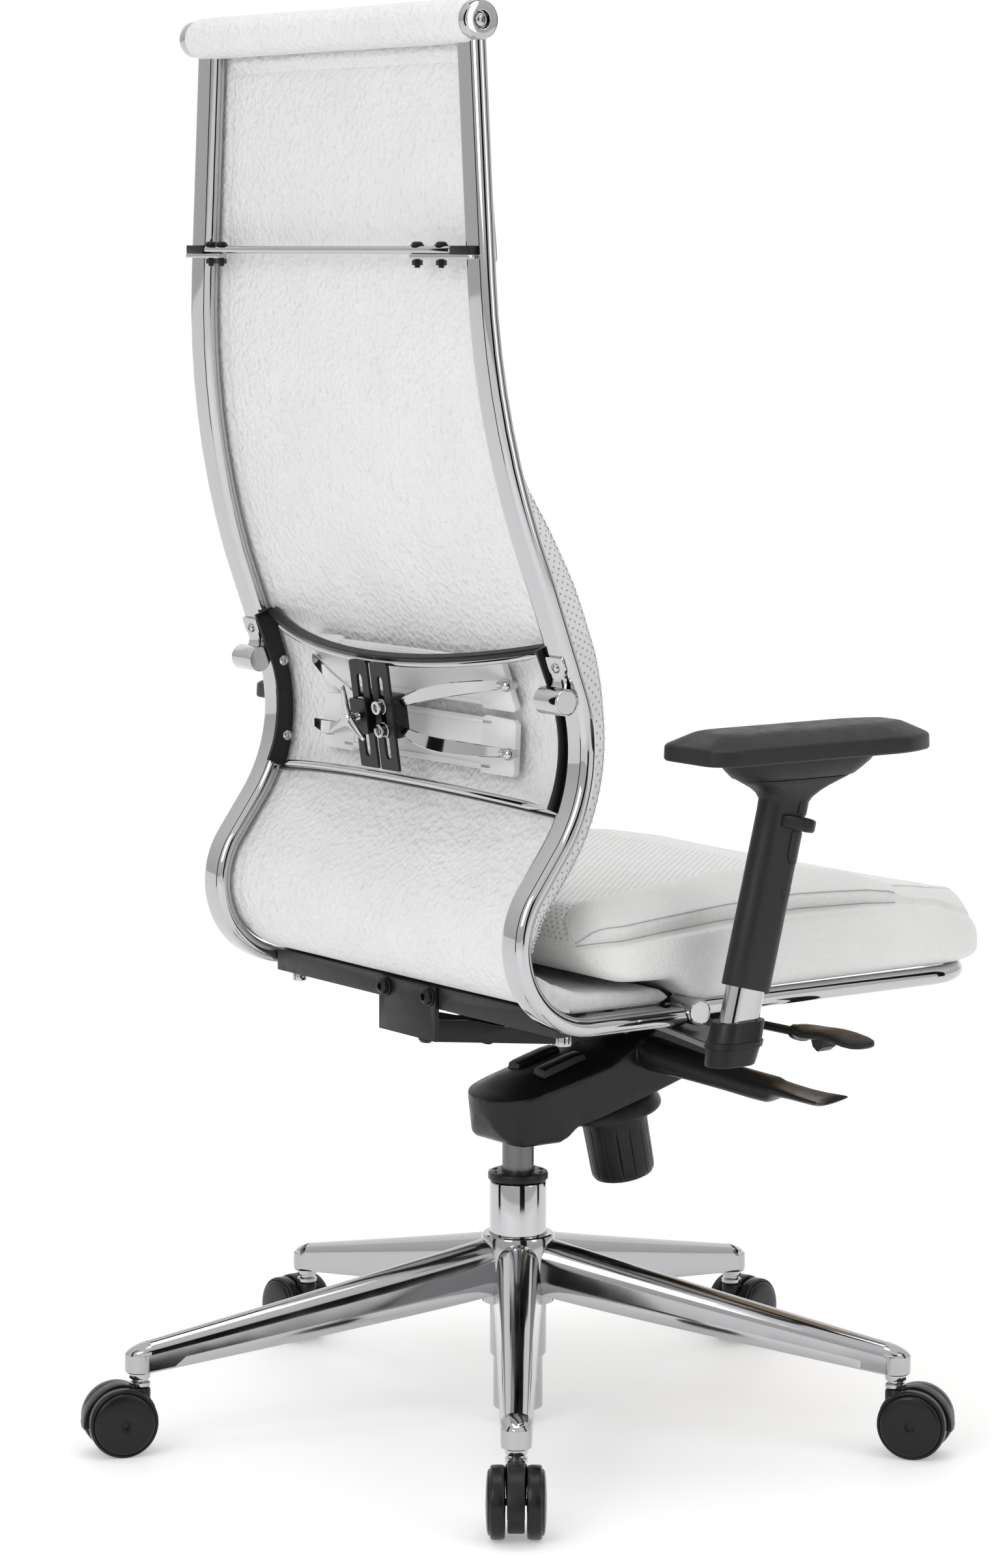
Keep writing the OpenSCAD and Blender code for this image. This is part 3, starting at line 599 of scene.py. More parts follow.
def lift():
    column = [(20.0, 12.5), (21.4, 12.5), (22, 13.4), (22, 58.5), (22.6, 59.8), (24.4, 60.6), (25, 62),
              (25, 214), (24.6, 215.4), (21.5, 215.6), (20.2, 214)]
    Parts().add(ring_lathe(column, 72)).build("lift_sleeve", CHROME, "base", "chrome", ["lift_cylinder"], 28)
    rim = [(14.4, 212), (14.4, 224), (15.4, 224.8), (24.2, 224.8), (26.0, 224.0), (26.5, 222.6),
           (26.5, 218.4), (25.4, 217.2), (19.9, 217.0), (19.9, 212)]
    collar = Parts().add(ring_lathe(rim, 72))
    bump, bumps = prism(rect_points(5.4, 2.6, 0.8, 3), 0, 1.1, 0.4), 10
    for k in range(bumps):
        collar.add(bump, turn("Z", 360 / bumps * k) @ at(21.2, 0, 224.5) @ turn("Z", 90))
    collar.build("lift_collar_ring", PLASTIC, "base", "black_plastic", ["lift_collar"], 30)
    rod = [(10, 96), (13.4, 96), (14, 96.8), (14, 299), (13, 300), (10, 300)]
    Parts().add(ring_lathe(rod)).build("lift_piston", DARK_STEEL, "mechanism", "steel", ["lift_tube"], 28)


# One wheel's outline, with its outer face at the high end.
WHEEL = [(3.2, 0.4), (8, 0.4), (9, 1.4), (24.5, 1.4), (26, 0.6), (27.8, 0.6), (29.2, 1.4), (29.9, 3.2),
         (30, 6), (30, 10.2), (29.7, 11.6), (29.0, 12.4), (28.2, 12.7), (27.5, 12.5), (27.2, 12.0),
         (26.9, 12.6), (26.6, 13.6), (25.6, 14.6), (23.5, 15.2), (18, 15.9), (11, 16.3), (4.6, 16.5),
         (4.2, 16.3), (4.0, 15.2), (3.2, 15.0)]


def wheel_pair(i, hub):
    tyre = Parts()
    spoke, spokes = prism([(9.6, -1.0), (23.8, -1.4), (23.8, 1.4), (9.6, 1.0)], 0.9, 2.4, 0.2), 5
    for s in (1, -1):
        m = hub @ turn("X", -90 * s) @ at(0, 0, 8.2)
        tyre.add(ring_lathe(WHEEL, 72), m)
        for k in range(spokes):
            tyre.add(spoke, m @ turn("Z", 360 / spokes * k))
    tyre.build(f"caster_{i}_tyres", NYLON, f"wheels_{i}", "wheel_nylon", [f"caster_{i}_wheels"], 30)


def arc_points(radius, start, sweep, count):
    """Points on an arc; the radius is a number or a function of the angle."""
    out = []
    for k in range(count + 1):
        a = math.radians(start + sweep * k / count)
        r = radius(a) if callable(radius) else radius
        out.append((r * math.cos(a), r * math.sin(a)))
    return out


def caster_hood(i, stem, hub):
    across = turn("X", 90)
    hood = Parts()
    cheek = arc_points(25.6, -62, 244, 24) + [(-20, -8), (-8, -13), (8, -15)]
    hood.add(prism(cheek, -6.9, 6.9, 1.6), hub @ across)
    arch = arc_points(lambda a: 33.2 - 1.2 * abs(math.sin(a * 2)), -8, 168, 20)
    inner = [(x * 0.80, z * 0.80) for x, z in arch[::-1]]
    hood.add(prism(arch + inner, -7.2, 7.2, 2.0), hub @ across @ at(0, -1.4, 0))
    cup = [(5.1, 24), (7.4, 24), (8.2, 25), (8.8, 40), (9.2, 52), (9.0, 55.2), (8.0, 56.6), (5.1, 57)]
    hood.add(ring_lathe(cup, 40), stem)
    web = prism([(-8, 0), (20, 0), (24, -12), (2, -16), (-8, -12)], -4.5, 4.5, 1.2)
    hood.add(web, stem @ at(0, 0, 50) @ across)
    hood.add(lathe([(2.95, -22.5), (2.95, 22.5)], 24), hub @ across)
    hood.build(f"caster_{i}_body", PLASTIC, f"caster_{i}", "black_plastic", [f"caster_{i}_hood"], 32)


def casters():
    pin = [(4.9, 27), (4.9, 57.4), (8.4, 57.6), (9.2, 58.6), (9.2, 61.4), (8.0, 62.4), (6.6, 62.8),
           (6.6, 64.2), (8.8, 64.8), (9.3, 65.8), (9.3, 69.4), (4.9, 70), (4.9, 84)]
    pins = Parts()
    for i in range(LEGS):
        stem = turn("Z", LEG_TURN * i) @ at(STEM_R)
        hub = turn("Z", LEG_TURN * i) @ at(STEM_R + TRAIL, 0, WHEEL_R)
        wheel_pair(i + 1, hub)
        caster_hood(i + 1, stem, hub)
        pins.add(lathe(pin, 40), stem)
    pins.build("caster_pins", CHROME, "base", "chrome", ["caster_stems"], 30)


# ---- tilt mechanism ----

# The housing's outline rounds off behind its middle; the rear part is then shortened by this scale.
HOUSING_HALF, HOUSING_MIDDLE, HOUSING_SPAN, REAR_SCALE = 47, 4, 46.5, 0.79
# Along the housing, (y, z): its upper edge, the crown of its top and its underside; then the side's taper.
EDGE = [(-209, 385), (-165, 383), (-120, 350), (-90, 331), (-66, 318), (-20, 306), (14, 298.5), (50.5, 292.5)]
CROWN = [(-209, 387), (-165, 387), (-120, 356), (-90, 340), (-60, 328), (-42, 324.5), (0, 312.6), (30, 300),
         (50.5, 293.5)]
BELLY = [(-209, 322), (-161, 300), (-105, 283), (-52, 268), (-38, 265.5), (-33, 262.5), (-26, 256.5),
         (-18, 253), (22, 252.6), (30, 254), (38, 258.5), (46, 267), (50.5, 281)]
NECK = [(-209, 0.93), (-60, 0.90), (0, 0.84), (50.5, 0.86)]
RIB_FOOT = [(-60, 328), (-42, 323.6), (0, 311.8), (30, 299)]
KNOB = at(0, -103, 272) @ turn("X", 180 - 12)
TILT_Y, TILT_Z = -104, 327
HEIGHT_Y, HEIGHT_Z = -152, 360


def housing_half(y):
    """Half the housing's width at its upper edge."""
    if y > HOUSING_MIDDLE:
        round_end = 1 - ((y - HOUSING_MIDDLE) / HOUSING_SPAN) ** 2
        return HOUSING_HALF * math.sqrt(max(0.0, round_end)) ** 0.95
    return HOUSING_HALF + 4.5 * min(1.0, (HOUSING_MIDDLE - y) / 110)


def housing_ring(y):
    half = max(1.2, housing_half(y))
    edge, low, neck = (look_up(table, y) for table in (EDGE, BELLY, NECK))
    crown = max(look_up(CROWN, y), edge + 0.8)
    out = [(half * 0.985 * k / 8, crown - (crown - edge) * (k / 8) ** 2.2) for k in range(9)]
    out += [(half, edge - 1.6), (half * 0.995, edge - 4.5)]
    for k in range(1, 6):
        a = k / 6
        out.append((half * (0.995 - (0.995 - neck) * a), edge - 4.5 - (edge - 4.5 - low - 5) * a))
    out += [(half * neck, low + 5.5), (half * (neck - 0.02), low + 2.4), (half * (neck - 0.07), low + 0.6),
            (half * (neck - 0.14), low), (half * 0.4, low), (0, low)]
    place_y = y if y < HOUSING_MIDDLE else HOUSING_MIDDLE + (y - HOUSING_MIDDLE) * REAR_SCALE
    return [(x, place_y, z) for x, z in mirrored(out)]


def housing():
    stations = [-209, -206, -198, -180, -165, -150, -135, -120, -105, -90, -78, -66, -56, -48, -42, -38, -35,
                -33, -30, -26, -22, -18, -12, -4, 4, 12, 18, 22, 26, 30, 34, 38, 41, 44, 46.5, 48.5, 49.8,
                50.4]
    parts = Parts().add(loft([housing_ring(y) for y in stations]))
    flange = [(5.2, -12), (36, -12), (39, -10), (42.5, -3), (44, 1.2), (44, 4.2), (43, 5.8), (33, 6.4),
              (5.2, 6.4)]
    parts.add(ring_lathe(flange), KNOB)
    for y, z, r, bore in ((TILT_Y, TILT_Z, 13.5, 6.1), (HEIGHT_Y, HEIGHT_Z, 8.5, 4.1)):
        boss = [(bore, -3), (r, -3), (r, 0.6), (r - 1.2, 2.0), (bore, 2.2)]
        parts.add(ring_lathe(boss, 40), at(-51, y, z) @ turn("Y", -90))
    parts.build("tilt_housing", PLASTIC, "mechanism", "black_plastic", ["mech_housing"], 30)

    cover = Parts()
    profile = ((-5, 0.0), (-5.8, 3.6), (-9, 4.4), (-22, 4.4), (-38, 4.0), (-48, 3.0), (-50, 0.0))
    half = 8.5
    for x in (-24, 14):
        rings = []
        for y, h in profile:
            z = look_up(RIB_FOOT, y)
            outline = [(-half, -2), (half, -2), (half - 0.6, h), (half - 2.4, h + 0.8), (2.4 - half, h + 0.8),
                       (0.6 - half, h)]
            rings.append([(x + u, y, z + v) for u, v in outline])
        cover.add(loft(rings))
    cover.build("housing_ribs", PLASTIC, "mechanism", "black_plastic", ["mech_cover"], 26)


def tension_knob():
    profile = [(14, 5.5), (26, 5.5), (28.6, 6.6), (29.4, 8.5), (29.6, 13), (29.4, 16), (29.2, 24), (28.9, 40),
               (28.6, 58), (28.1, 62), (26.4, 65.2), (22.5, 67.0), (12, 67.6), (5, 67.7)]
    flutes, deep, start, end = 15, 0.9, 14, 60
    rings = []
    for r, z in profile:
        cut = deep * min(1.0, (z - start) / 4) if start <= z <= end and r > 28 else 0.0
        ring = []
        for a in circle(flutes * 16):
            here = r - cut * max(0.0, math.cos(a * flutes)) ** 24
            ring.append((here * math.cos(a), here * math.sin(a), z))
        rings.append(ring)
    parts = Parts().add(loft(rings), KNOB)
    parts.add(lathe([(4.9, -40), (4.9, 8)], 24), KNOB)
    parts.build("tension_grip", PLASTIC, "tension_knob", "black_plastic", ["tension_knob"], 24)


def tilt_lever():
    """The tilt lock lever, from rows of (distance along, half width, half thickness, rise).
    Its outer end spreads into a scoop."""
    pivot = at(-50, TILT_Y, TILT_Z)
    rows = [(0, 12.5, 12, 0), (3, 15.2, 14.4, 0), (9, 16.4, 15.2, 0), (22, 15.6, 14.2, 0),
            (55, 13.6, 12.8, 0.4), (95, 12.6, 12.0, 1.0), (122, 13.2, 12.0, 1.8), (134, 14.4, 11.8, 2.6),
            (142, 15.0, 11.0, 3.4), (147, 15.4, 8.6, 4.8), (150, 15.8, 6.2, 6.2), (158, 16.4, 5.0, 7.2),
            (172, 17.6, 4.0, 8.0), (188, 20.6, 3.4, 8.6), (200, 23.4, 3.1, 9.6), (206, 24.8, 2.6, 10.2),
            (208, 24.6, 1.2, 10.4)]
    neck, scoop, tip = 140, 150, 172
    rings = []
    for z, wide, thick, rise in rows:
        power = 0.9 if z < neck else 0.75
        ring = []
        for a in circle(36):
            y = wide * signed(math.sin(a), power) + max(0, z - neck) * 0.06
            x = thick * signed(math.cos(a), power) + rise * 0.6
            if z >= scoop:
                x += 2.6 * (y / 20) ** 2
            fork = 5.0 * max(0, z - tip) / 36 * ((y / 24) ** 2 - 0.8)
            ring.append((x, y, z + fork))
        rings.append(ring)
    parts = Parts().add(loft(rings), pivot @ turn("Z", 12.5) @ turn("Y", -97))
    parts.add(lathe([(5.9, -14), (5.9, 2)], 32), pivot @ turn("Y", -90))
    parts.build("tilt_handle", PLASTIC, "tilt_lever", "black_plastic", ["tilt_lever"], 40)


def height_lever():
    level = at(0, HEIGHT_Y, HEIGHT_Z)
    parts = Parts()
    rod = [(-42, 0, 0), (-60, 0, 0), (-120, 0, 0.5), (-196, 0, 1.5), (-214, 0, 2)]
    parts.add(tube_along(on_frame(level, rod), 3.9, 20))
    boot = [(4.2, 0), (6.4, 0.6), (6.8, 4), (6.8, 12), (6.0, 17), (5.0, 19)]
    parts.add(lathe(boot, 32), level @ at(-194, 0, 1.4) @ turn("Y", -90))
    rows = [(-200, 7, 5.5, 0), (-206, 9.5, 6.5, 0), (-214, 13.5, 6.2, 0.6), (-224, 15.6, 5.4, 1.4),
            (-236, 16.2, 4.8, 2.6), (-248, 15.8, 4.6, 3.4), (-262, 16.4, 4.5, 2.8), (-276, 16.6, 4.3, 1.4),
            (-284, 14.6, 3.9, 0.6), (-288.5, 11.0, 3.1, 0.2), (-290, 7.0, 1.6, 0)]
    rings = []
    for x, wide, thick, rise in rows:
        rings.append([(x, wide * signed(math.cos(a), 0.7), 3 + rise + thick * signed(math.sin(a), 0.7))
                      for a in circle(32)])
    parts.add(loft(rings), level)
    hook = [(0, 0), (18, 0), (16, -7), (9, -11.5), (3, -8)]
    flip = Matrix.Scale(-1, 4, (1, 0, 0))
    parts.add(prism(hook, -8, 8, 1.4), level @ at(-226, 0, 2) @ turn("X", 90) @ flip)
    parts.build("height_handle", PLASTIC, "height_lever", "black_plastic", ["height_lever"], 38)


# ---- back frame ----

ROLL_Y, ROLL_Z, ROLL_HALF = 191, 1209.4, 205.5
BAR_Y, BAR_Z = 198.7, 1029.0
BAR_BOLTS = (-170, -136, 162, 179)
STUB = at_lumbar(70)


def back_tubes():
    kinked = frames(back_steps((MID_RUN, KINK_R, LEAN, 90), (0, UPPER_R, -UPPER_TURN, 0)), 2.5, 10.0)
    oval = oval_points(TUBE_W, TUBE_T, 12)
    verts, faces = loft([on_frame(at(TUBE_X) @ STAND @ m, oval) for m in kinked])
    for side, s in SIDES.items():
        tube = Parts().add(([(s * x, y, z) for x, y, z in verts], faces))
        tube.build(f"back_tube_{side}", CHROME, "back", "chrome", ["back_tubes"], 40)


def barrels_and_stubs():
    parts = Parts()
    end_cap = [(0.4, 0), (7.6, 0), (9.4, -0.1), (9.9, -0.7), (10.2, -0.2), (10.9, -0.3), (11.25, -1.2)]
    low_barrel = lathe(end_cap + [(11.25, -34), (10.6, -35.4), (0.4, -35.6)], 56)
    stub_barrel = lathe(end_cap + [(11.25, -30.4), (10.6, -31), (0.4, -31.2)], 56)
    strap = [(36.5, 0.5, 9.6), (35.9, 2.2, 10.6), (34.5, 2.6, 11), (26, 2.7, 11), (23, 2.7, 10.4),
             (21, 2.8, 8.9), (17, 3.2, 8.2), (13, 5.0, 8.6), (10, 8.0, 10.4), (7, 11.3, 11.4)]
    rings = [[(*p, z) for p in bevelled(-half, half, y - 2.4, y, 0.7, 0.5)] for z, y, half in strap]
    for s in (-1, 1):
        out = turn("Y", 90 * s)
        parts.add(low_barrel, at(s * 246.2, -9, 400) @ out)
        parts.add(stub_barrel, STUB @ at(s * 245.2, TUBE_T / 2 + 12, 2) @ out)
        parts.add(loft(rings), STUB @ at(s * (TUBE_X + 1), TUBE_T / 2, 0))
    parts.build("tube_end_barrels", CHROME, "back", "chrome", ["back_stubs"], 34)


def head_roll():
    """The leather roll with its seam and end caps; gives back the caps' screws."""
    count, tube_r, seam_place = 90, 17.6, 262
    rings = []
    for k in range(count + 1):
        x = -ROLL_HALF + 2 * ROLL_HALF * k / count
        close = min(1.0, (ROLL_HALF - abs(x)) / 7.0)
        r = tube_r * (0.90 + 0.10 * math.sin(close * math.pi / 2))
        ring = []
        for a in circle(56):
            wave = 0.22 * math.sin(x * 0.045 + 1.3) * math.cos(a * 2 + x * 0.02)
            here = r + wave - 0.9 * math.exp(-((math.degrees(a) - seam_place) / 5.0) ** 2)
            ring.append((x, ROLL_Y + here * math.cos(a), ROLL_Z + here * math.sin(a)))
        rings.append(ring)
    skin = Parts().add(loft(rings))
    roll = skin.build("head_roll_leather", SLING, "back", "white_leather", ["head_roll"], 50)

    caps, screws = Parts(), Parts()
    rim = [(6.6, -6.2), (15.1, -6.2), (15.6, -5.2), (15.6, 5.0), (15.0, 6.0), (14.4, 6.2), (8.1, 6.2),
           (7.6, 5.8), (7.2, 2.0), (6.6, 1.8)]
    button = [(6.1, -6), (6.1, 3.1), (5.9, 4.0), (5.0, 5.2), (3.4, 6.0), (2.5, 6.2), (2.3, 5.6), (2.2, 3.2),
              (0.4, 3.0)]
    for s in (-1, 1):
        m = at(s * 210, ROLL_Y, ROLL_Z) @ turn("Y", 90 * s)
        caps.add(ring_lathe(rim), m)
        screws.add(lathe(button, 32), m)
    caps.build("head_roll_caps", CHROME, "back", "chrome", ["roll_caps"], 32)
    return screws


def button_head(d, h, washer=()):
    """A domed screw head with its socket, on a washer where one is given."""
    r, socket, lift_up = d / 2, 0.45, washer[-1][1] if washer else 0
    head = [(r * 0.98, 0), (r, h * 0.2), (r * 0.9, h * 0.62), (r * 0.62, h * 0.93), (r * socket * 1.05, h),
            (r * socket * 0.95, h * 0.92), (r * socket * 0.9, h * 0.4), (0.3, h * 0.36)]
    return list(washer) + [(u, v + lift_up) for u, v in head]


def socket_head(d, h, washer=()):
    r, lift_up = d / 2, washer[-1][1] if washer else 0
    head = [(r * 0.96, 0), (r, 0.5), (r, h - 0.7), (r * 0.93, h), (r * 0.58, h), (r * 0.54, h - 0.5),
            (r * 0.5, h * 0.45), (0.3, h * 0.42)]
    return list(washer) + [(u, v + lift_up) for u, v in head]


def fasteners(bright):
    black = Parts()
    bracket_washer = [(8.6, 0), (8.6, 1.2), (8.0, 1.6), (7.4, 1.6)]
    bar_washer = [(5.6, 0), (5.8, 0.3), (5.8, 1.0), (5.4, 1.2)]
    nut = [(2.4, 0), (2.4, 0.5), (4.4, 0.7), (4.4, 4.6), (3.9, 5.0), (2.4, 5.0), (2.4, 6.6), (1.8, 7.0)]
    inner_face = TUBE_X - TUBE_W / 2 - 3.2
    for s in (-1, 1):
        for h in (73, 101.5):
            bright.add(lathe(button_head(10, 3.4), 28),
                       at_lumbar(h) @ at(s * inner_face) @ turn("Y", -90 * s))
        strap_screw = STUB @ at(s * (TUBE_X + 1), TUBE_T / 2 + 2.6, 27) @ turn("X", -90)
        bright.add(lathe(button_head(8.6, 2.6), 28), strap_screw)
        bright.add(lathe(socket_head(13, 9.5), 32), at(s * 200, 98, 386) @ turn("X", 180))
        black.add(lathe(button_head(14, 5, bracket_washer), 36), at(s * 33, 118, 396.5) @ turn("X", -90))
    for y in (33, 98):
        black.add(lathe(button_head(14, 6), 32), at(0, y, 342 + (y + 9) * 15 / 123) @ turn("X", 180 + 6.95))
    for x in BAR_BOLTS:
        black.add(lathe(button_head(9.6, 2.4, bar_washer), 28), at(x, BAR_Y, BAR_Z + 3.3))
        black.add(lathe(nut, 6), at(x, BAR_Y, BAR_Z - 7.2) @ turn("X", 180))
    bright.build("chrome_fasteners", CHROME, "back", "chrome", ["chrome_screws"], 30)
    black.build("black_fasteners", BLACK_COAT, "back", "black_metal", ["black_bolts"], 30)


def crossbar():
    level = at(0, BAR_Y, BAR_Z)
    bar = Parts()
    outline = [(4.0 * signed(math.cos(a), 0.6), 3.3 * signed(math.sin(a), 0.8)) for a in circle(28)]
    rings = []
    for x, scale in ((-186, 0.55), (-185.2, 0.85), (-183.5, 1.0), (0, 1.0), (183.5, 1.0), (185.2, 0.85),
                     (186, 0.55)):
        rings.append([(x, u * scale, v * scale) for u, v in outline])
    bar.add(loft(rings), level)
    for x, w in ((-172, 84), (187, 54)):
        bar.add(prism(rect_points(w, 9, 1.2, 4), -7.1, -3.5, 0.7), level @ at(x))
    bar.build("crossbar_chrome", CHROME, "back", "chrome", ["crossbar"], 30)
    ends = Parts()
    for s in (-1, 1):
        ends.add(prism(rect_points(27.6, 8.4, 1.6, 4), -3.4, 3.6, 0.8), level @ at(s * 200.2))
    ends.build("crossbar_ends", BLACK_COAT, "back", "black_metal", ["crossbar_clamps"], 30)


# ---- lumbar support ----

SLOTS = at(0, 150, 636) @ turn("X", -8)
SLOT_X, BOLT_Z = 15.5, 10
LOW_RAIL = 112.3


def bow_frames(base, radius, half, count):
    """Frames along an arc that bows to the rear: local X is outwards, Z along the arc."""
    out = []
    depth = radius * (1 - math.cos(math.radians(half)))
    for k in range(count + 1):
        a = -half + 2 * half * k / count
        out.append(base @ at(0, depth - radius, 0) @ turn("Z", a) @ at(0, radius, 0) @ turn("Y", -90))
    return out


def rail_rod(places, scale, x=0.0, y=0.0):
    """A round rod along the inner frames, drawn to small ends."""
    rod = [(3.0 * math.cos(a), 3.0 * math.sin(a)) for a in circle(20)]
    rings = []
    for k, m in enumerate(places):
        end = min(1.0, (min(k, len(places) - 1 - k) + 0.3) / 2) * scale
        rings.append(on_frame(m, [(x + u * end, y + v * end) for u, v in rod]))
    return loft(rings)


def lumbar_frame():
    black, bright = Parts(), Parts()
    top = bow_frames(STUB @ at(0, 0, 37.4) @ turn("X", -12), 587, 20.95, 72)
    low = bow_frames(at_lumbar(LOW_RAIL), 704, 17.3, 60)
    thick = 2.2
    rings = []
    for k, m in enumerate(top):
        deep = -8.5 - 3.0 * max(0.0, 1 - k / 36) ** 3
        rings.append(on_frame(m, [(-thick, deep), (thick * 0.2, deep), (thick + 0.6, deep + 2.2),
                                  (thick + 0.6, -0.8), (thick - 0.4, 0), (0.5 - thick, 0), (-thick, -0.6)]))
    black.add(loft(rings))
    low_strip = [(-4.6, -6.2), (-2.2, -6.6), (-2.2, -0.6), (-4.0, -0.2), (-4.6, -1.0)]
    black.add(loft([on_frame(m, low_strip) for m in low]))
    bright.add(rail_rod(top[2:-2], 1.0, -4.6, -1.5))
    bright.add(rail_rod(low[2:-2], 1.15))
    black.build("lumbar_rail_strips", BLACK_COAT, "back", "black_metal", ["lumbar_rails"], 32)
    bright.build("lumbar_rail_rods", CHROME, "back", "chrome", (), 40)

    plates = Parts()
    count, bend = 26, 0.7
    for s in (-1, 1):
        x = s * (TUBE_X - TUBE_W / 2 - 1.8)
        rings = []
        for k in range(count + 1):
            t = k / count
            if t < bend:
                m = at_lumbar(LOW_RAIL + 0.5 + (70 - LOW_RAIL - 0.5) * t / bend)
            else:
                m = STUB @ at(0, 0, (t - bend) / (1 - bend) * 41.5)
            half = 9.4 - 1.8 * math.sin(math.pi * t)
            rings.append(on_frame(m, bevelled(x - 1.5, x + 1.5, 3 - half, 3 + half, 0.6, 0.6)))
        plates.add(loft(rings))
    plates.build("lumbar_cheeks", BLACK_COAT, "back", "black_metal", ["lumbar_side_plates"], 32)


def slot_plates():
    slot_r, half, run = 4, 13, 32
    outer, inner = [], []
    for s, tall in ((1, 15.5), (-1, 13.5)):
        for i in range(24):
            a = math.pi * (i / 23 + (s < 0))
            c, q = math.cos(a), math.sin(a)
            reach = 1 / max(abs(c) / half, abs(q) / tall)
            inner.append((slot_r * c, s * run + slot_r * q))
            outer.append((reach * c, s * run + reach * q))
    thick = 1.3
    corners = ((outer, -thick), (inner, -thick), (inner, thick), (outer, thick))
    rings = [[(*p, z) for p in ring] for ring, z in corners]
    parts = Parts()
    for x in (-SLOT_X, SLOT_X):
        parts.add(loft(rings, loop=True), SLOTS @ at(x) @ turn("X", 90))
    parts.build("slot_plates", BLACK_COAT, "back", "black_metal", ["slotted_plates"], 30)


def carriage_block():
    face = turn("X", 90)
    block = Parts()
    block.add(prism(rect_points(54, 37, 3, 4), 2.4, 16.2, 1.4), SLOTS @ face)
    for x in (-SLOT_X, SLOT_X):
        for z in (-BOLT_Z, BOLT_Z):
            block.add(lathe([(3.3, -2.6), (3.3, 4.0)], 20), SLOTS @ at(x, 0, z) @ face)
    block.add(prism(rect_points(24, 30, 2.4, 4), -6.4, -1.6, 1.0), SLOTS @ at(SLOT_X, 0, 0) @ face)
    block.build("lumbar_block", BLACK_COAT, "lumbar_carriage", "black_metal", ["carriage_block"], 32)


def carriage_bolts():
    bolts = Parts()
    plain = [(6.2, 0), (6.2, 1.2), (4.6, 2.0), (4.6, 3.4), (3.9, 3.9)]
    for z in (-BOLT_Z, BOLT_Z):
        capped = socket_head(12, 6.2, [(6.6, 0), (6.6, 1.0), (6.2, 1.3)])
        bolts.add(lathe(capped, 32), SLOTS @ at(-SLOT_X, 1.6, z) @ turn("X", -90))
        bolts.add(lathe(plain, 28), SLOTS @ at(SLOT_X, 1.6, z) @ turn("X", -90))
    bolts.build("carriage_screws", CHROME, "lumbar_carriage", "chrome", ["carriage_bolts"], 30)


def leaf(s, v, end):
    """One bowed and twisted leaf arm from the block to its end on a pad."""
    start = SLOTS @ Vector((s * 23, -8.5, v * 8.5))
    rings = []
    for k in range(31):
        t = k / 30
        p = start.lerp(end, t)
        p.y += 12.5 * math.sin(math.pi * t ** 0.9) * (1 - 0.35 * t)
        p.z += v * 4.5 * math.sin(math.pi * t ** 0.8)
        half = 2.4 + 1.6 * t + 3.0 * math.sin(math.pi * t ** 0.85)
        roll = math.radians(v * 24 * (1 - t))
        up = Vector((0, math.sin(roll), math.cos(roll)))
        face = Vector((0, math.cos(roll), -math.sin(roll)))
        rings.append([tuple(p + up * u + face * w) for u, w in bevelled(-half, half, -0.9, 1.2, 0.7, 0.7)])
    return loft(rings)


def leaf_springs():
    leaves = Parts()
    rivet = [(0.6, 1.4), (3.0, 1.2), (3.2, -6), (0.6, -6.2)]
    ball = [(0.6, 5.4), (3.2, 4.4), (4.8, 2.4), (5.4, 0), (4.8, -2.4), (3.4, -4.2), (3.2, -9), (0.6, -9.2)]
    bush = [(1.9, 0), (3.6, 0.2), (3.6, 8.5), (2.6, 9.0), (1.9, 9.0)]
    for s in (-1, 1):
        for v, y, z in ((1, 119, 673), (-1, 117, 616)):
            leaves.add(leaf(s, v, Vector((s * 143, y, z))))
            if s > 0:
                leaves.add(lathe(rivet, 24), at(140, y, z) @ turn("X", -90))
            else:
                leaves.add(lathe(ball, 28), at(-153.5, y + 3.5, z) @ turn("X", -90))
                leaves.add(lathe(bush, 20), at(-141, y + 2, z) @ turn("Y", -90))
    leaves.build("leaf_springs", CHROME, "lumbar_carriage", "chrome", ["lumbar_arms"], 34)


def lumbar_pads():
    pads = Parts()
    sleeve = {1: [(-22, -24.5), (22, -24.5), (26, -22), (26, 20), (22, 23), (-16, 24.5), (-22, 22.5)],
              -1: [(-26, -22), (-22, -24.5), (22, -24.5), (22, 22.5), (16, 24.5), (-22, 23), (-26, 20)]}
    ridge = prism(rect_points(220, 3.2, 1.4, 3), -3.2, -1.4, 0.6)
    for h, out in ((70, 0.9), (93, 2.6)):
        m = at_lumbar(h) @ at(0, out, 1) @ turn("X", 90)
        pads.add(prism(rect_points(262, 44, 5, 5), -2.0, 1.6, 1.2), m)
        for s in (-1, 1):
            pads.add(prism(sleeve[s], -3.2, 2.8, 1.3, 3), m @ at(s * 118, 0, 0))
        for y in (18.5, -18.5):
            pads.add(ridge, m @ at(0, y, 0))
    pads.build("lumbar_plates", PAD_PLASTIC, "lumbar_carriage", "pad_plastic", ["lumbar_pads"], 34)


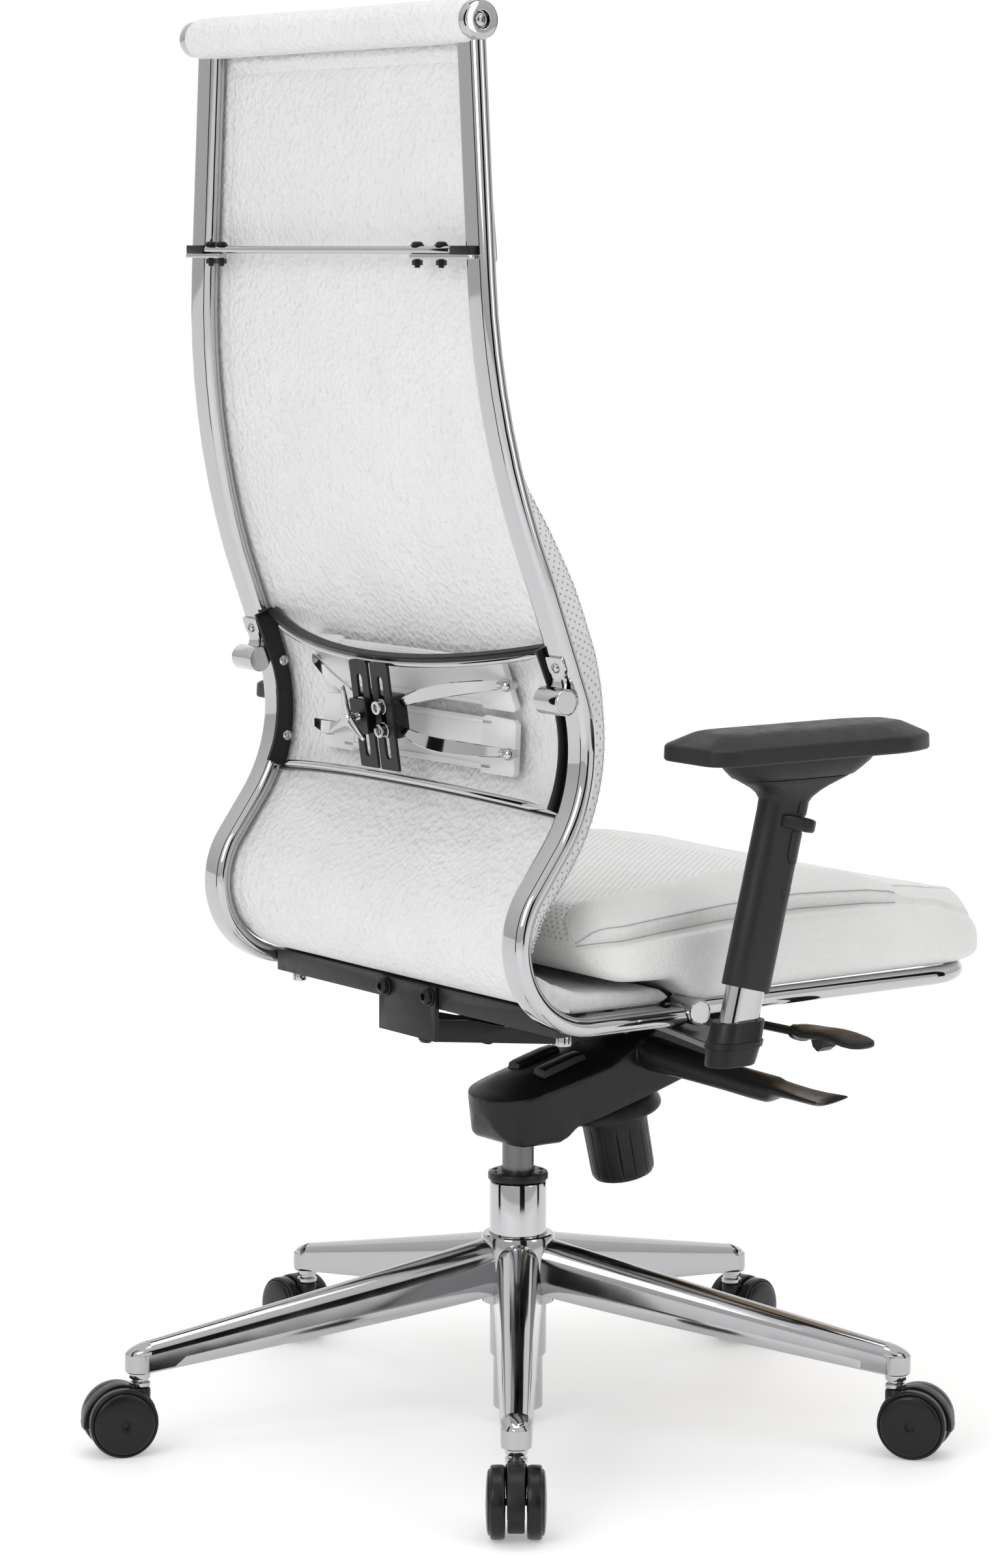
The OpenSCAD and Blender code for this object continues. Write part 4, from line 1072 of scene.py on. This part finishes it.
def lumbar_knob():
    knob = Parts()
    centre = SLOTS @ at(SLOT_X, 0, 0)
    pitch, turns = 0.72, 20
    thread = [(2.9, -14), (3.0, 1.4)]
    for k in range(turns):
        z = 1.6 + k * pitch
        thread += [(3.0, z), (2.62, z + pitch / 2)]
    boss = [(5.4, 13.2), (6.5, 13.8), (6.5, 20.4), (5.6, 21.4), (2.0, 21.8)]
    knob.add(lathe(thread + [(2.9, 17)], 28), centre @ turn("X", -90))
    knob.add(lathe(boss, 32), centre @ turn("X", -90))
    arm_rows = ((1.5, 5.4, 3.2), (5.5, 5.0, 3.2), (11, 3.6, 3.0), (18, 2.6, 2.7), (25, 1.9, 2.2),
                (28.6, 1.4, 1.7), (29.6, 0.8, 1.1))
    arm_rings = [[(half * math.cos(a), 18.2 + deep * math.sin(a) + 0.05 * r, r) for a in circle(14)]
                 for r, half, deep in arm_rows]
    for i in range(3):
        knob.add(loft(arm_rings), centre @ turn("Y", 120 * i - 3))
    knob.build("star_knob", CHROME, "lumbar_knob", "chrome", ["lumbar_knob"], 40)


# ---- leather and padding ----

REAR_FACE = -13.3
MIDDLE_POINTS = 9
FRONT = [(168, -31), (181, -36), (215, -44.5), (300, -45), (350, -46.5), (400, -47.5), (436, -52.5),
         (476, -52.5), (500, -51.3), (519, -48.6), (557, -42.5), (589, -35.2), (615, -31.8), (660, -26.5),
         (710, -21), (756, -16)]


def opening(start, length, count):
    """Stations that begin close together at a rounded end."""
    return [start + length * (1 - math.cos(math.pi / 2 * k / count)) for k in range(count)]


def closing(end, length, count):
    """Stations that come close together towards a rounded end."""
    return [end - length * (1 - math.sin(a)) for a in quarter(count)]


def rounding(gap, radius, least):
    """How thick a rounded end is at a gap from its tip: 1 where it is full."""
    return math.sqrt(max(least, 1 - (1 - min(1.0, gap / radius)) ** 2))


def squeeze(ring, middle, close, width=1.0):
    """A ring drawn in towards its middle, and a little across, where an end is rounded."""
    return [(x * (width + (1 - width) * close), middle + (off - middle) * close) for x, off in ring]


def path_lengths(points):
    """The distance run at each point of a path."""
    return np.concatenate([[0], np.cumsum([math.dist(a, b) for a, b in zip(points, points[1:])])]).tolist()


def back_skin(name, rows, materials, stands_for, angle, side_points=0):
    """A closed padded skin over rings of (across, off) points along the back's curve.
    Of two materials the second covers the middle of the front, and so many points at each side."""
    skin = Parts().add(loft([[on_back(s, off, x) for x, off in ring] for s, ring in rows]))
    weave = [(run, s) for s, ring in rows for run in path_lengths(ring)]
    if isinstance(materials, list):
        n = len(rows[0][1])
        for i, face in enumerate(skin.faces):
            j = face[0] % n
            side = side_points > 0 and not side_points <= j <= n - side_points - 2
            skin.index[i] = int(side or abs(j - (n - 1) / 2) < MIDDLE_POINTS)
    obj = skin.build(name, materials, "back", "white_leather", stands_for, angle, weave)


def sling():
    front_face, lining = -8.15, -13.0
    rows = []
    for s in np.append(np.arange(112.0, 956.1, 4.0), 961.0):
        hw = half_width(on_curve(s)[1]) if s > 200 else TUBE_X
        inner = hw - TUBE_W / 2 - 9.0
        fold = 4.2 * math.exp(-((s - 954) / 4.5) ** 2) - 2.0 * math.exp(-((s - 945) / 3.0) ** 2)
        sag = 0.5 * math.sin(s * 0.021) * math.sin(s * 0.0077 + 1)
        level = front_face + fold
        half = [(hw - 2.5, -9.6), (hw - 12.5, -9.8), (hw - 15.6, -10.8), (hw - 18, -12.4),
                (inner + 1.6, -12.6), (inner + 0.3, -11.6), (inner - 0.5, -9.2 + fold * 0.4),
                (inner - 2.4, level - 0.15), (inner - 6, level)]
        for k in range(8, -1, -1):
            x = inner * k / 9
            half.append((x, level + sag * math.cos(x * 0.012)))
        front = [(2.5 - hw, lining + 0.6), (6 - hw, lining), (0, lining - 0.1), (hw - 6, lining),
                 (hw - 2.5, lining + 0.6)]
        rows.append((s, mirrored(half) + front))
    back_skin("sling_leather", rows, SLING, ["back_panel"], 38)


def rounded_row(half, rear, front, edge, crown):
    """A cushion's outline across: flat rear face, rounded sides and a crowned front with two seams."""
    r = min(edge, abs(front - rear) / 2 - 0.1)
    channel, seam, field = 0.86, 0.745, 0.74
    pts = [(half - r * 0.5, rear), (half - 1.2, rear - 0.3), (half, rear - 1.8)]
    for t in (0.25, 0.5, 0.75):
        pts.append((half + 1.6 * math.sin(math.pi * t), rear - 1.8 + (front + r - rear + 1.8) * t))
    pts += [(half - r * (1 - math.cos(a)), front + r - r * math.sin(a)) for a in quarter(6)]
    for t in (0.96, 0.92, 0.87, 0.82, 0.775, 0.755, 0.745, 0.735, 0.715, 0.68, 0.6, 0.48, 0.34, 0.18):
        depth = front + 3.4 * math.exp(-((t - seam) / 0.011) ** 2)
        if abs(t - channel) < 0.12:
            depth -= crown * math.cos((t - channel) / 0.12 * math.pi / 2)
        if t < field:
            depth += 3.5 * (1 - (t / field) ** 6) - 1.5 * math.cos(t * math.pi / 2)
        pts.append((t * half, depth))
    return mirrored(pts + [(0.0, front + 2.0)])


def cushion_half(s):
    """Half the back cushion's width at a distance along the side curve."""
    return min(204.0, half_width(on_curve(s)[1]) - 22)


def edge_stitches():
    """Short stitches across the back cushion's rounded edges."""
    edge, stand, step = 12, 0.9, 6.5
    stitches = Parts()
    for s in np.arange(186.0, 592.0, step):
        for side in (-1, 1):
            pts = []
            for a in (math.radians(d) for d in (35, 50, 65, 80)):
                x = cushion_half(s) - edge + (edge + stand) * math.cos(a)
                pts.append(on_back(s, look_up(FRONT, s) + edge - (edge + stand) * math.sin(a), side * x))
            stitches.add(tube_along(pts, 0.95, 6, [0.7, 1, 1, 0.7]))
    stitches.build("edge_stitches", THREAD, "back", "white_leather", (), 60)


def back_cushion():
    low, high, foot, tip = 166.0, 757.0, 13, 8
    rows = []
    stops = opening(low, foot, 7) + list(np.arange(low + foot, high - 6, 6.0))
    for s in stops + [high - 4, high - 1.5, high]:
        close = min(rounding(s - low, foot, 0.02), 0.35 + 0.65 * rounding(high - s, tip, 0.0))
        front = look_up(FRONT, s)
        row = rounded_row(cushion_half(s), REAR_FACE, front, 12, 4.0 * min(1.0, (abs(front) - 15) / 22))
        rows.append((s, squeeze(row, (REAR_FACE + front) / 2, close, 0.985)))
    back_skin("back_cushion_leather", rows, [LEATHER, PERFORATED], ["back_cushion"], 60, 9)
    edge_stitches()


def head_pad():
    low, high, foot, tip, rear = 774.0, 953.0, 16, 9, -13.4
    faces = [(774, -46), (786, -46.9), (838, -42.2), (889, -38.3), (953, -34)]
    rows = []
    for s in opening(low, foot, 8) + list(np.arange(low + foot, high - tip, 5.0)) + closing(high, tip, 5):
        close = min(rounding(s - low, foot, 0.015), rounding(high - s, tip, 0.1))
        front = look_up(faces, s)
        rows.append((s, squeeze(rounded_row(171.0, rear, front, 11, 3.0), (rear + front) / 2, close, 0.96)))
    back_skin("head_pad_leather", rows, [LEATHER, PERFORATED], ["head_pad"], 60, 0)


def sling_end():
    """The thick rough end of the sling, lying on the tubes' low run."""
    low, high, foot, rear, r = 2.0, 158.0, 9, -8.2, 5.5
    crest = [(2, -19), (20, -22), (58, -23.5), (90, -26), (127, -29), (158, -24)]
    rows = []
    for s in opening(low, foot, 6) + list(np.arange(low + foot, high - 8, 4.0)) + [high - 4, high]:
        top = look_up(crest, s)
        half = 219 - max(0, s - 150)
        wave = 0.5 * math.sin(s * 0.13)
        ring = rect_points(2 * half, rear - top + wave, r, 5, 0, (rear + top - wave) / 2)
        rows.append((s, squeeze(ring, (rear + top) / 2, rounding(s - low, foot, 0.03))))
    back_skin("sling_end_pad", rows, PILE, (), 50)


SEAT_REAR, SEAT_FRONT, SEAT_HALF, SEAT_TOP_HALF = 92.0, -354.0, 247.5, 236.0
CORNER, REAR_CORNER = 72.0, 44.0
NOSE, SEAT_HEEL = 30.0, 24
FIELD_POINTS, FIELD_FRONT = 11, -236
# Along the seat, (y, z): the middle's height, the leaf's crest, the crease at its foot and the bottom edge.
SEAT_MIDDLE = [(92, 484), (76, 488), (40, 489), (-40, 490), (-120, 490), (-200, 487), (-234, 484.5),
               (-260, 482), (-310, 474), (-340, 467), (-354, 459)]
SEAT_CREST = [(92, 487), (76, 495), (40, 497), (12, 499), (-37, 503), (-80, 507), (-120, 507), (-154, 505),
              (-200, 498), (-234, 486), (-276, 476), (-320, 463), (-340, 452), (-354, 446)]
SEAT_CREASE = [(92, 464), (60, 466), (38, 468), (-43, 474), (-126, 477), (-200, 475), (-234, 472),
               (-276, 466), (-320, 452), (-340, 440), (-354, 434)]
SEAT_BOTTOM = [(92, 435), (64, 431), (13, 429), (0, 419), (-14, 407), (-79, 409), (-92, 413), (-292, 413.5),
               (-354, 414)]
# Along the seat, (y, x): half the width of the perforated field.
SEAT_FIELD = [(92, 236), (89, 214), (85, 197), (78, 186), (60, 174), (30, 166), (0, 162), (-80, 154),
              (-160, 162), (-210, 190), (-234, 222), (-270, 226), (-354, 200)]
LEAF_FRONT, LEAF_FADE, LEAF_HEEL = -226, 14, 10


def seat_half(y):
    """Half the seat's width at a place from rear to front, with rounded corners."""
    d, r = min((SEAT_REAR - y, REAR_CORNER), (y - SEAT_FRONT, CORNER))
    return SEAT_HALF - r + math.sqrt(max(0.0, r ** 2 - max(0.0, r - d) ** 2))


def seat_row(y):
    """Half the seat cushion's outline across, from the top's middle round to the bottom."""
    half = seat_half(y)
    middle, crest, crease, bottom = (look_up(t, y)
                                     for t in (SEAT_MIDDLE, SEAT_CREST, SEAT_CREASE, SEAT_BOTTOM))
    outer = SEAT_TOP_HALF * half / SEAT_HALF
    field = look_up(SEAT_FIELD, y) * half / SEAT_HALF
    leaf = min(1.0, max(0.0, (y - LEAF_FRONT + LEAF_FADE) / LEAF_FADE), max(0.0, (SEAT_REAR - y) / LEAF_HEEL))
    valley = leaf * math.sin(math.pi * min(1.0, max(0.0, (90 - y) / 318))) ** 0.4
    row = [(field * t, middle + 1.5 * t ** 3) for t in (0.0, 0.2, 0.4, 0.6, 0.75, 0.86, 0.93, 0.965, 0.985)]
    row += [(field * 0.996, middle - 2.4 * leaf + 1.0), (field, middle - 3.6 * leaf + 1.0),
            (field + 1.2, middle - 2.2 * leaf + 1.0)]
    for t in (0.06, 0.13, 0.22, 0.33, 0.45, 0.57, 0.68, 0.78, 0.86, 0.92, 0.96):
        plain = middle + (crease + 4 - middle) * t ** 1.7
        if t < 0.4:
            raised = middle - 1.5 + (crest - middle + 1.5) * math.sin(math.pi / 2 * t / 0.4) ** 0.85
        else:
            raised = crest - (crest - crease - 8) * (1 - math.cos(math.pi / 2 * (t - 0.4) / 0.6))
        row.append((field + (outer - field - 6 * valley) * t, plain + (raised - plain) * leaf))
    for x, z, x_valley, z_valley in ((-1.0, 3.0, -6.2, 2.0), (0.4, -0.5, -11.5, -2.5),
                                     (2.4, -2.0, -9.4, -5.0), (4.6, -1.4, -1.6, -2.6)):
        row.append((outer + x + x_valley * valley, crease + z + z_valley * valley))
    fit = min(1.0, (half - 0.2) / max(1.0, outer + 12))
    for t in (0.06, 0.14, 0.26, 0.4, 0.55, 0.7, 0.82, 0.91, 0.97):
        bulge = 8.6 + 3.4 * math.sin(math.pi * t) ** 0.8 - 8.0 * (max(0.0, t - 0.82) / 0.18) ** 2
        row.append(((outer + bulge) * fit, crease - 3 - (crease - 3 - bottom) * t))
    row += [((outer + 1.0) * 0.995, bottom + 0.1), (outer * 0.96, bottom), (outer * 0.6, bottom),
            (outer * 0.25, bottom)]
    close = min(rounding(y - SEAT_FRONT, NOSE, 0.03), rounding(SEAT_REAR - y, SEAT_HEEL, 0.04))
    return squeeze(row, middle * 0.45 + bottom * 0.55, close)


def seat_seam_shade_threads(stops, rings):
    """Dark grey threads along the seams of the leaf and of its outer crease: real stitching, coloured dark as
    painted shade in the seam grooves.
    """
    seams = Parts()
    for j in (11, 22, 24):
        for side in (1, -1):
            line = [ring[side * j] for y, ring in zip(stops, rings) if -233 < y < 91]
            seams.add(tube_along(line, 0.55, 6))
    seams.build("seat_seam_shade_threads", SEAM_SHADE_THREAD, "seat", "white_leather", (), 60)


def seat_cushion():
    stops = opening(SEAT_FRONT, NOSE, 10) + list(np.arange(SEAT_FRONT + NOSE, SEAT_REAR - SEAT_HEEL, 5.0))
    stops += closing(SEAT_REAR, SEAT_HEEL, 8)
    halves = [seat_row(y) for y in stops]
    rings = [[(x, y, z) for x, z in mirrored(half)] for y, half in zip(stops, halves)]
    along = path_lengths([(y, half[0][1]) for y, half in zip(stops, halves)])
    weave = []
    for distance, half in zip(along, halves):
        weave += mirrored([(run, distance) for run in path_lengths(half)])
    seat_seam_shade_threads(stops, rings)
    cushion = Parts().add(loft(rings))
    n = len(rings[0])
    for i, face in enumerate(cushion.faces):
        j = face[0] % n
        in_field = min(j, n - j) < FIELD_POINTS and cushion.verts[face[0]][1] > FIELD_FRONT
        cushion.index[i] = int(len(face) == 4 and in_field)
    obj = cushion.build("seat_cushion_leather", [LEATHER, PERFORATED], "seat", "white_leather",
                        ["seat_cushion"], 60, weave)


# ---- seat frame and arms ----

ARM_X, ARM_Y, ARM_Z, ARM_LEAN = 302.0, -12.0, 428.0, 14.2
PAD_Y = -64.0
SLEEVE_R, SLEEVE_FLAT = 14.0, 8
PAD_HALF, PAD_LONG = 45, 120


def seat_frame():
    r, z, side, front, corner = 8.0, 404.0, 236.0, -330.0, 60.0
    half = [(side, y, z) for y in (-14, -24, -60, front + corner)]
    half += [(side - corner + corner * math.cos(a), front + corner - corner * math.sin(a), z)
             for a in quarter(14)[1:]]
    half.append((60, front, z))
    parts = Parts().add(tube_along(half + [(-x, y, z) for x, y, z in reversed(half)], r, 28))
    for s in (-1, 1):
        tail = [(s * side, -14.2, z), (s * side, -14, z), (s * (side - 0.4), -9, z - 0.6),
                (s * (side - 1), -1, z - 2)]
        parts.add(tube_along(tail, 5.6, 20))
    parts.build("seat_hoop", CHROME, "seat", "chrome", ["seat_frame"], 40)


def oval_ring(m, length, width, z, y=0.0):
    """A ring of an oval whose long way is Y, in the frame m."""
    return on_frame(m, [(v, u + y, z) for u, v in oval_points(length, width, 12)])


def lean_y(z):
    return ARM_Y - (z - ARM_Z) * math.tan(math.radians(ARM_LEAN))


def soft_outline(points, r, steps):
    """An outline with each corner rounded off by a curve."""
    out = []
    for i, b in enumerate(Vector(p) for p in points):
        u, v = (Vector(points[(i + k) % len(points)]) - b for k in (-1, 1))
        cut = min(r, u.length * 0.4, v.length * 0.4)
        p, q = b + u.normalized() * cut, b + v.normalized() * cut
        out += [tuple((1 - t) ** 2 * p + 2 * t * (1 - t) * b + t * t * q)
                for t in (j / steps for j in range(steps + 1))]
    return out


def sleeve_patch(rows, s, off):
    """A thin raised or sunk patch on the sleeve's outer face, from rows of (z, y from, y to)."""
    def face(y):
        return math.sqrt(max(1.0, SLEEVE_R ** 2 - max(0.0, abs(y) - SLEEVE_FLAT) ** 2))

    rings = []
    for z, y0, y1 in rows:
        ys = [y0 + (y1 - y0) * k / 8 for k in range(9)]
        outer = [(s * (face(y) + off), y, z) for y in ys]
        rings.append(outer + [(s * (face(y) - 0.8), y, z) for y in ys[::-1]])
    return loft(rings)


def arm_sleeve(side, s, m):
    """The sleeve, its flared head and the patches round its button."""
    tube = [(42.4, 26.4, -0.1), (43.6, 27.6, 0.3), (44, 28, 1.2), (44, 28, 60), (44, 28, 100), (44, 28, 146)]
    rings = [oval_ring(m, *row) for row in tube]
    low, rise = 578, 39
    flare = [(low, 45.5, 28.6), (583, 49, 30), (588, 60, 34), (592, 74, 38), (596, 92, 42), (599, 106, 45),
             (599.8, 108, 45.4), (600.1, 104, 43), (600.5, 114, 46), (601, 117, 48), (606, 130, 54),
             (611, 142, 59), (616, 151, 62.5), (617.4, 151, 62.5), (617.8, 147, 60)]
    for z, length, width in flare:
        t = min(1.0, (z - low) / rise)
        rings.append(oval_ring(at(s * ARM_X), length, width, z, lean_y(z) * (1 - t) + PAD_Y * t))
    top = [(149, -18, -6), (150, -19, -6), (157, -19, -6), (160, -18, -6)]
    panel = [(107, -14.5, -9.5), (108, -16.5, -7.5), (110.5, -18.4, -5.6), (114, -19.4, -4.6),
             (120, -19.8, -4.2), (134, -19.8, -4.2)]
    mark = [(76, -13, -11), (78, -16, -8), (82, -18, -6), (88, -19, -5)]
    sleeve = Parts().add(loft(rings))
    for patch, off in ((top, 1.0), (panel, 0.75), (mark, 0.25)):
        sleeve.add(sleeve_patch(patch, s, off), m)
    sleeve.build(f"arm_sleeve_shell_{side}", ARM_PLASTIC, f"arm_{side}", "black_plastic",
                 [f"arm_sleeve_{side}"], 32)


def arm_column(side, m):
    column = Parts().add(loft([oval_ring(m, 36, 20, z) for z in (-43, -30, -10, 40, 116)]))
    column.build(f"arm_column_{side}", CHROME, "seat", "chrome", ["arm_tubes"], 40)


def arm_button(side, s, m):
    """The height button, from rows of (y, x from, x to, height)."""
    middle, flat = 141, 0.43
    rows = [(9, 12.6, 14.8, 9), (8.2, 12.4, 16.6, 11), (4, 12, 18.2, 12.6), (-4, 12, 19.6, 13.4),
            (-10, 12, 20.6, 13.8), (-11.2, 12, 20.0, 13.0), (-12.4, 11.6, 20.6, 13.8), (-19, 8, 20.2, 13.8),
            (-23.6, 6, 18.6, 13.0), (-25.2, 6.6, 16.4, 10.6)]
    rings = []
    for y, x0, x1, tall in rows:
        rings.append([(s * ((x0 + x1) / 2 + signed(math.cos(a), 0.5) * (x1 - x0) / 2), y,
                       middle + signed(math.sin(a), 0.5) * tall * flat) for a in circle(20)])
    button = Parts().add(loft(rings), m)
    button.build(f"arm_trigger_{side}", PLASTIC, f"arm_button_{side}", "black_plastic",
                 [f"arm_button_{side}"], 40)


def arm_pad(side, s):
    corner = [(45, 98), (33, 120), (-33, 120), (-45, 98), (-45, -82), (-28, -120), (28, -120), (45, -82)]
    outline = soft_outline(corner, 15, 5)
    levels = [(618, 3, 3), (618.4, 1.2, 1.2), (619.6, 0.2, 0.2), (621, 0, 0), (630, 0.4, 0.4),
              (631.4, 1.2, 1.2), (632.6, 2.8, 2.8), (640.2, 16, 19), (641.2, 18.2, 21.4), (641.9, 20.4, 24),
              (642.4, 24, 30), (642.9, 32, 60), (643, 40, 100)]
    foam_start = 8
    rings = [[(x * (1 - dx / PAD_HALF) + s * 6, y * (1 - dy / PAD_LONG), z) for x, y in outline]
             for z, dx, dy in levels]
    pad = Parts().add(loft(rings), at(s * ARM_X, PAD_Y))
    pad.index = [int(min(face) >= foam_start * len(outline)) for face in pad.faces]
    obj = pad.build(f"arm_rest_pad_{side}", [ARM_PLASTIC, PAD_FOAM], f"arm_pad_{side}", "arm_pad_foam",
                    [f"arm_pad_{side}"], 24)


def arm_foot(side, s):
    """The clamp at the sleeve's foot and the flat bar that joins it to the seat."""
    rings = []
    for z, length, width in ((402.2, 37, 21), (402.6, 44, 28), (402.2, 46.5, 30.5), (401, 47.4, 31.4),
                             (387, 48.4, 32.4), (386.4, 49, 33), (386, 51.6, 35.4), (381.4, 51.6, 35.4),
                             (380.8, 48.4, 32), (370, 46, 30), (366.8, 45, 29), (366, 43, 27)):
        rings.append(oval_ring(at(s * ARM_X, lean_y(z) + 0.6), length, width, z))
    foot = Parts().add(loft(rings))
    foot.build(f"arm_foot_{side}", PLASTIC, "seat", "black_plastic", ["arm_feet"], 32)
    inner_x, outer_x = 74, 292
    rings = []
    for k in range(25):
        t = k / 24
        bow = math.sin(math.pi * t)
        half = 21 - 5 * bow ** 2
        middle = at(s * (inner_x + (outer_x - inner_x) * t), -16 + 12 * t ** 2, 380.5 + 3.2 * bow)
        rings.append(on_frame(middle, [(0, v, w) for v, w in bevelled(-half, half, -2.6, 2.6, 1.2, 1.0)]))
    bar = Parts().add(loft(rings))
    bar.add(prism(rect_points(12, 16, 1.5, 3, s * 82, -31), 380, 408, 0.8))
    bar.build(f"arm_strap_{side}", DARK_STEEL, "seat", "steel", (), 34)


def arm(side, s):
    m = at(s * ARM_X, ARM_Y, ARM_Z) @ turn("X", ARM_LEAN)
    arm_sleeve(side, s, m)
    arm_column(side, m)
    arm_button(side, s, m)
    arm_pad(side, s)
    arm_foot(side, s)


# ---- everything in place ----

for build in (star_base, lift, casters, housing, tension_knob, tilt_lever, height_lever, back_tubes,
              barrels_and_stubs):
    build()
fasteners(head_roll())
for build in (crossbar, lumbar_frame, slot_plates, carriage_block, carriage_bolts, leaf_springs, lumbar_pads,
              lumbar_knob, sling, back_cushion, head_pad, sling_end, seat_cushion, seat_frame):
    build()
for side_name, side_sign in SIDES.items():
    arm(side_name, side_sign)
for node_name, finish, edge in (
        ("lift_rod", CHROME, 0.4), ("thrust_bearing", STEEL, 0.3), ("pivot_shafts", STEEL, 0.5),
        ("tension_spring", STEEL, 0.0), ("seat_plate", GREY_COAT, 0.8), ("seat_rail", GREY_COAT, 0.8),
        ("seat_board", WOOD, 0.8), ("cross_plate", GREY_COAT, 1.0), ("lever_bracket", BLACK_COAT, 0.9),
        ("back_lever", BLACK_COAT, 0.9)):
    refine(node_name, finish, edge)


# ---- floor, light and camera ----

# The camera that was fitted to the photograph: its place, its heading from -Y towards +X and its dip.
EYE = Vector((-3.06367, 2.20796, 1.0354))
HEADING, DIP = math.radians(54.5148), math.radians(7.0678)
SENSOR, LENS = 36, 100.35
LEVEL = Vector((math.sin(HEADING), -math.cos(HEADING), 0))
LOOK = LEVEL * math.cos(DIP) - Vector((0, 0, math.sin(DIP)))
ACROSS = LOOK.cross(Vector((0, 0, 1))).normalized()
MIDDLE = Vector((0, -0.05, 0.6))


def on_stage(across, away, up):
    """A place seen from the chair's middle: across the picture, away from the camera and up."""
    return MIDDLE + ACROSS * across + LEVEL * away + Vector((0, 0, up))


def put(name, data, position, rotation=(0, 0, 0)):
    obj = bpy.data.objects.new(name, data)
    obj.location = position
    obj.rotation_euler = rotation
    bpy.context.scene.collection.objects.link(obj)
    return obj


def stage_material(name, color, rough, shine, glow=0.0):
    s = Shader(name)
    s.set(base_color=(color, color, color, 1), roughness=rough, specular_ior_level=shine)
    if glow:
        s.set(emission_color=(1.0, 1.0, 1.0, 1), emission_strength=glow)
    return s.mat


def stage_plane(name, size, position, target, material):
    mesh = bpy.data.meshes.new(name)
    a, b = size[0] / 2, size[1] / 2
    mesh.from_pydata([(-a, -b, 0), (a, -b, 0), (a, b, 0), (-a, b, 0)], [], [(0, 1, 2, 3)])
    mesh.materials.append(material)
    facing = (Vector(target) - Vector(position)).to_track_quat("Z", "Y").to_euler() if target else (0, 0, 0)
    obj = put(name, mesh, position, facing)
    return obj


def area_light(name, spot, size, power):
    data = bpy.data.lights.new(name, "AREA")
    data.shape = "RECTANGLE"
    data.size, data.size_y = size
    data.energy = power
    put(name, data, on_stage(*spot), (MIDDLE - on_stage(*spot)).to_track_quat("-Z", "Y").to_euler())


def studio_world():
    """A light sky that is brighter above, and plain white where the camera sees it."""
    world = bpy.data.worlds.new("studio")
    bpy.context.scene.world = world
    world.use_nodes = True
    nodes, link = world.node_tree.nodes, world.node_tree.links.new
    height, glow, plain = (nodes.new(f"ShaderNode{kind}") for kind in ("SeparateXYZ", "MapRange", "Math"))
    for socket, number in (("From Min", -0.05), ("From Max", 0.75), ("To Min", 0.62), ("To Max", 0.95)):
        glow.inputs[socket].default_value = number
    plain.operation = "MAXIMUM"
    link(nodes.new("ShaderNodeTexCoord").outputs["Generated"], height.inputs[0])
    link(height.outputs["Z"], glow.inputs["Value"])
    link(glow.outputs["Result"], plain.inputs[0])
    link(nodes.new("ShaderNodeLightPath").outputs["Is Camera Ray"], plain.inputs[1])
    link(plain.outputs[0], nodes["Background"].inputs["Strength"])
    nodes["Background"].inputs["Color"].default_value = (1, 1, 1, 1)


stage_plane("floor", (40, 40), (0, 0, 0), None, stage_material("floor", 0.82, 0.6, 0.2, 0.30))
stage_plane("backdrop", (14, 8), on_stage(0, 9.0, 1.0), on_stage(0, 0, 1.0),
            stage_material("backdrop", 0.0, 1.0, 0.0, 1.02))
CARD = stage_material("dark_card", 0.012, 0.95, 0.0)
for card_name, card_size, card_place in (
        ("card_left", (0.5, 3.2), (-2.2, -0.4, 0.7)), ("card_right", (0.5, 3.2), (2.2, -0.1, 0.7)),
        ("card_behind", (1.8, 3.0), (1.4, -4.8, 0.7)), ("card_above", (2.4, 0.8), (0.0, 1.2, 2.7))):
    stage_plane(card_name, card_size, on_stage(*card_place), MIDDLE, CARD).visible_camera = False
area_light("key", (-1.8, -2.8, 1.6), (1.5, 1.8), 26)
area_light("fill", (2.6, -2.0, 1.2), (1.0, 2.0), 10)
area_light("top", (0.0, 0.2, 2.9), (2.2, 2.2), 26)
studio_world()
bpy.context.scene.view_settings.view_transform = "Standard"

camera_data = bpy.data.cameras.new("camera")
camera_data.sensor_width = SENSOR
camera_data.lens = LENS
camera_data.clip_end = 100
bpy.context.scene.camera = put("camera", camera_data, EYE, LOOK.to_track_quat("-Z", "Y").to_euler())
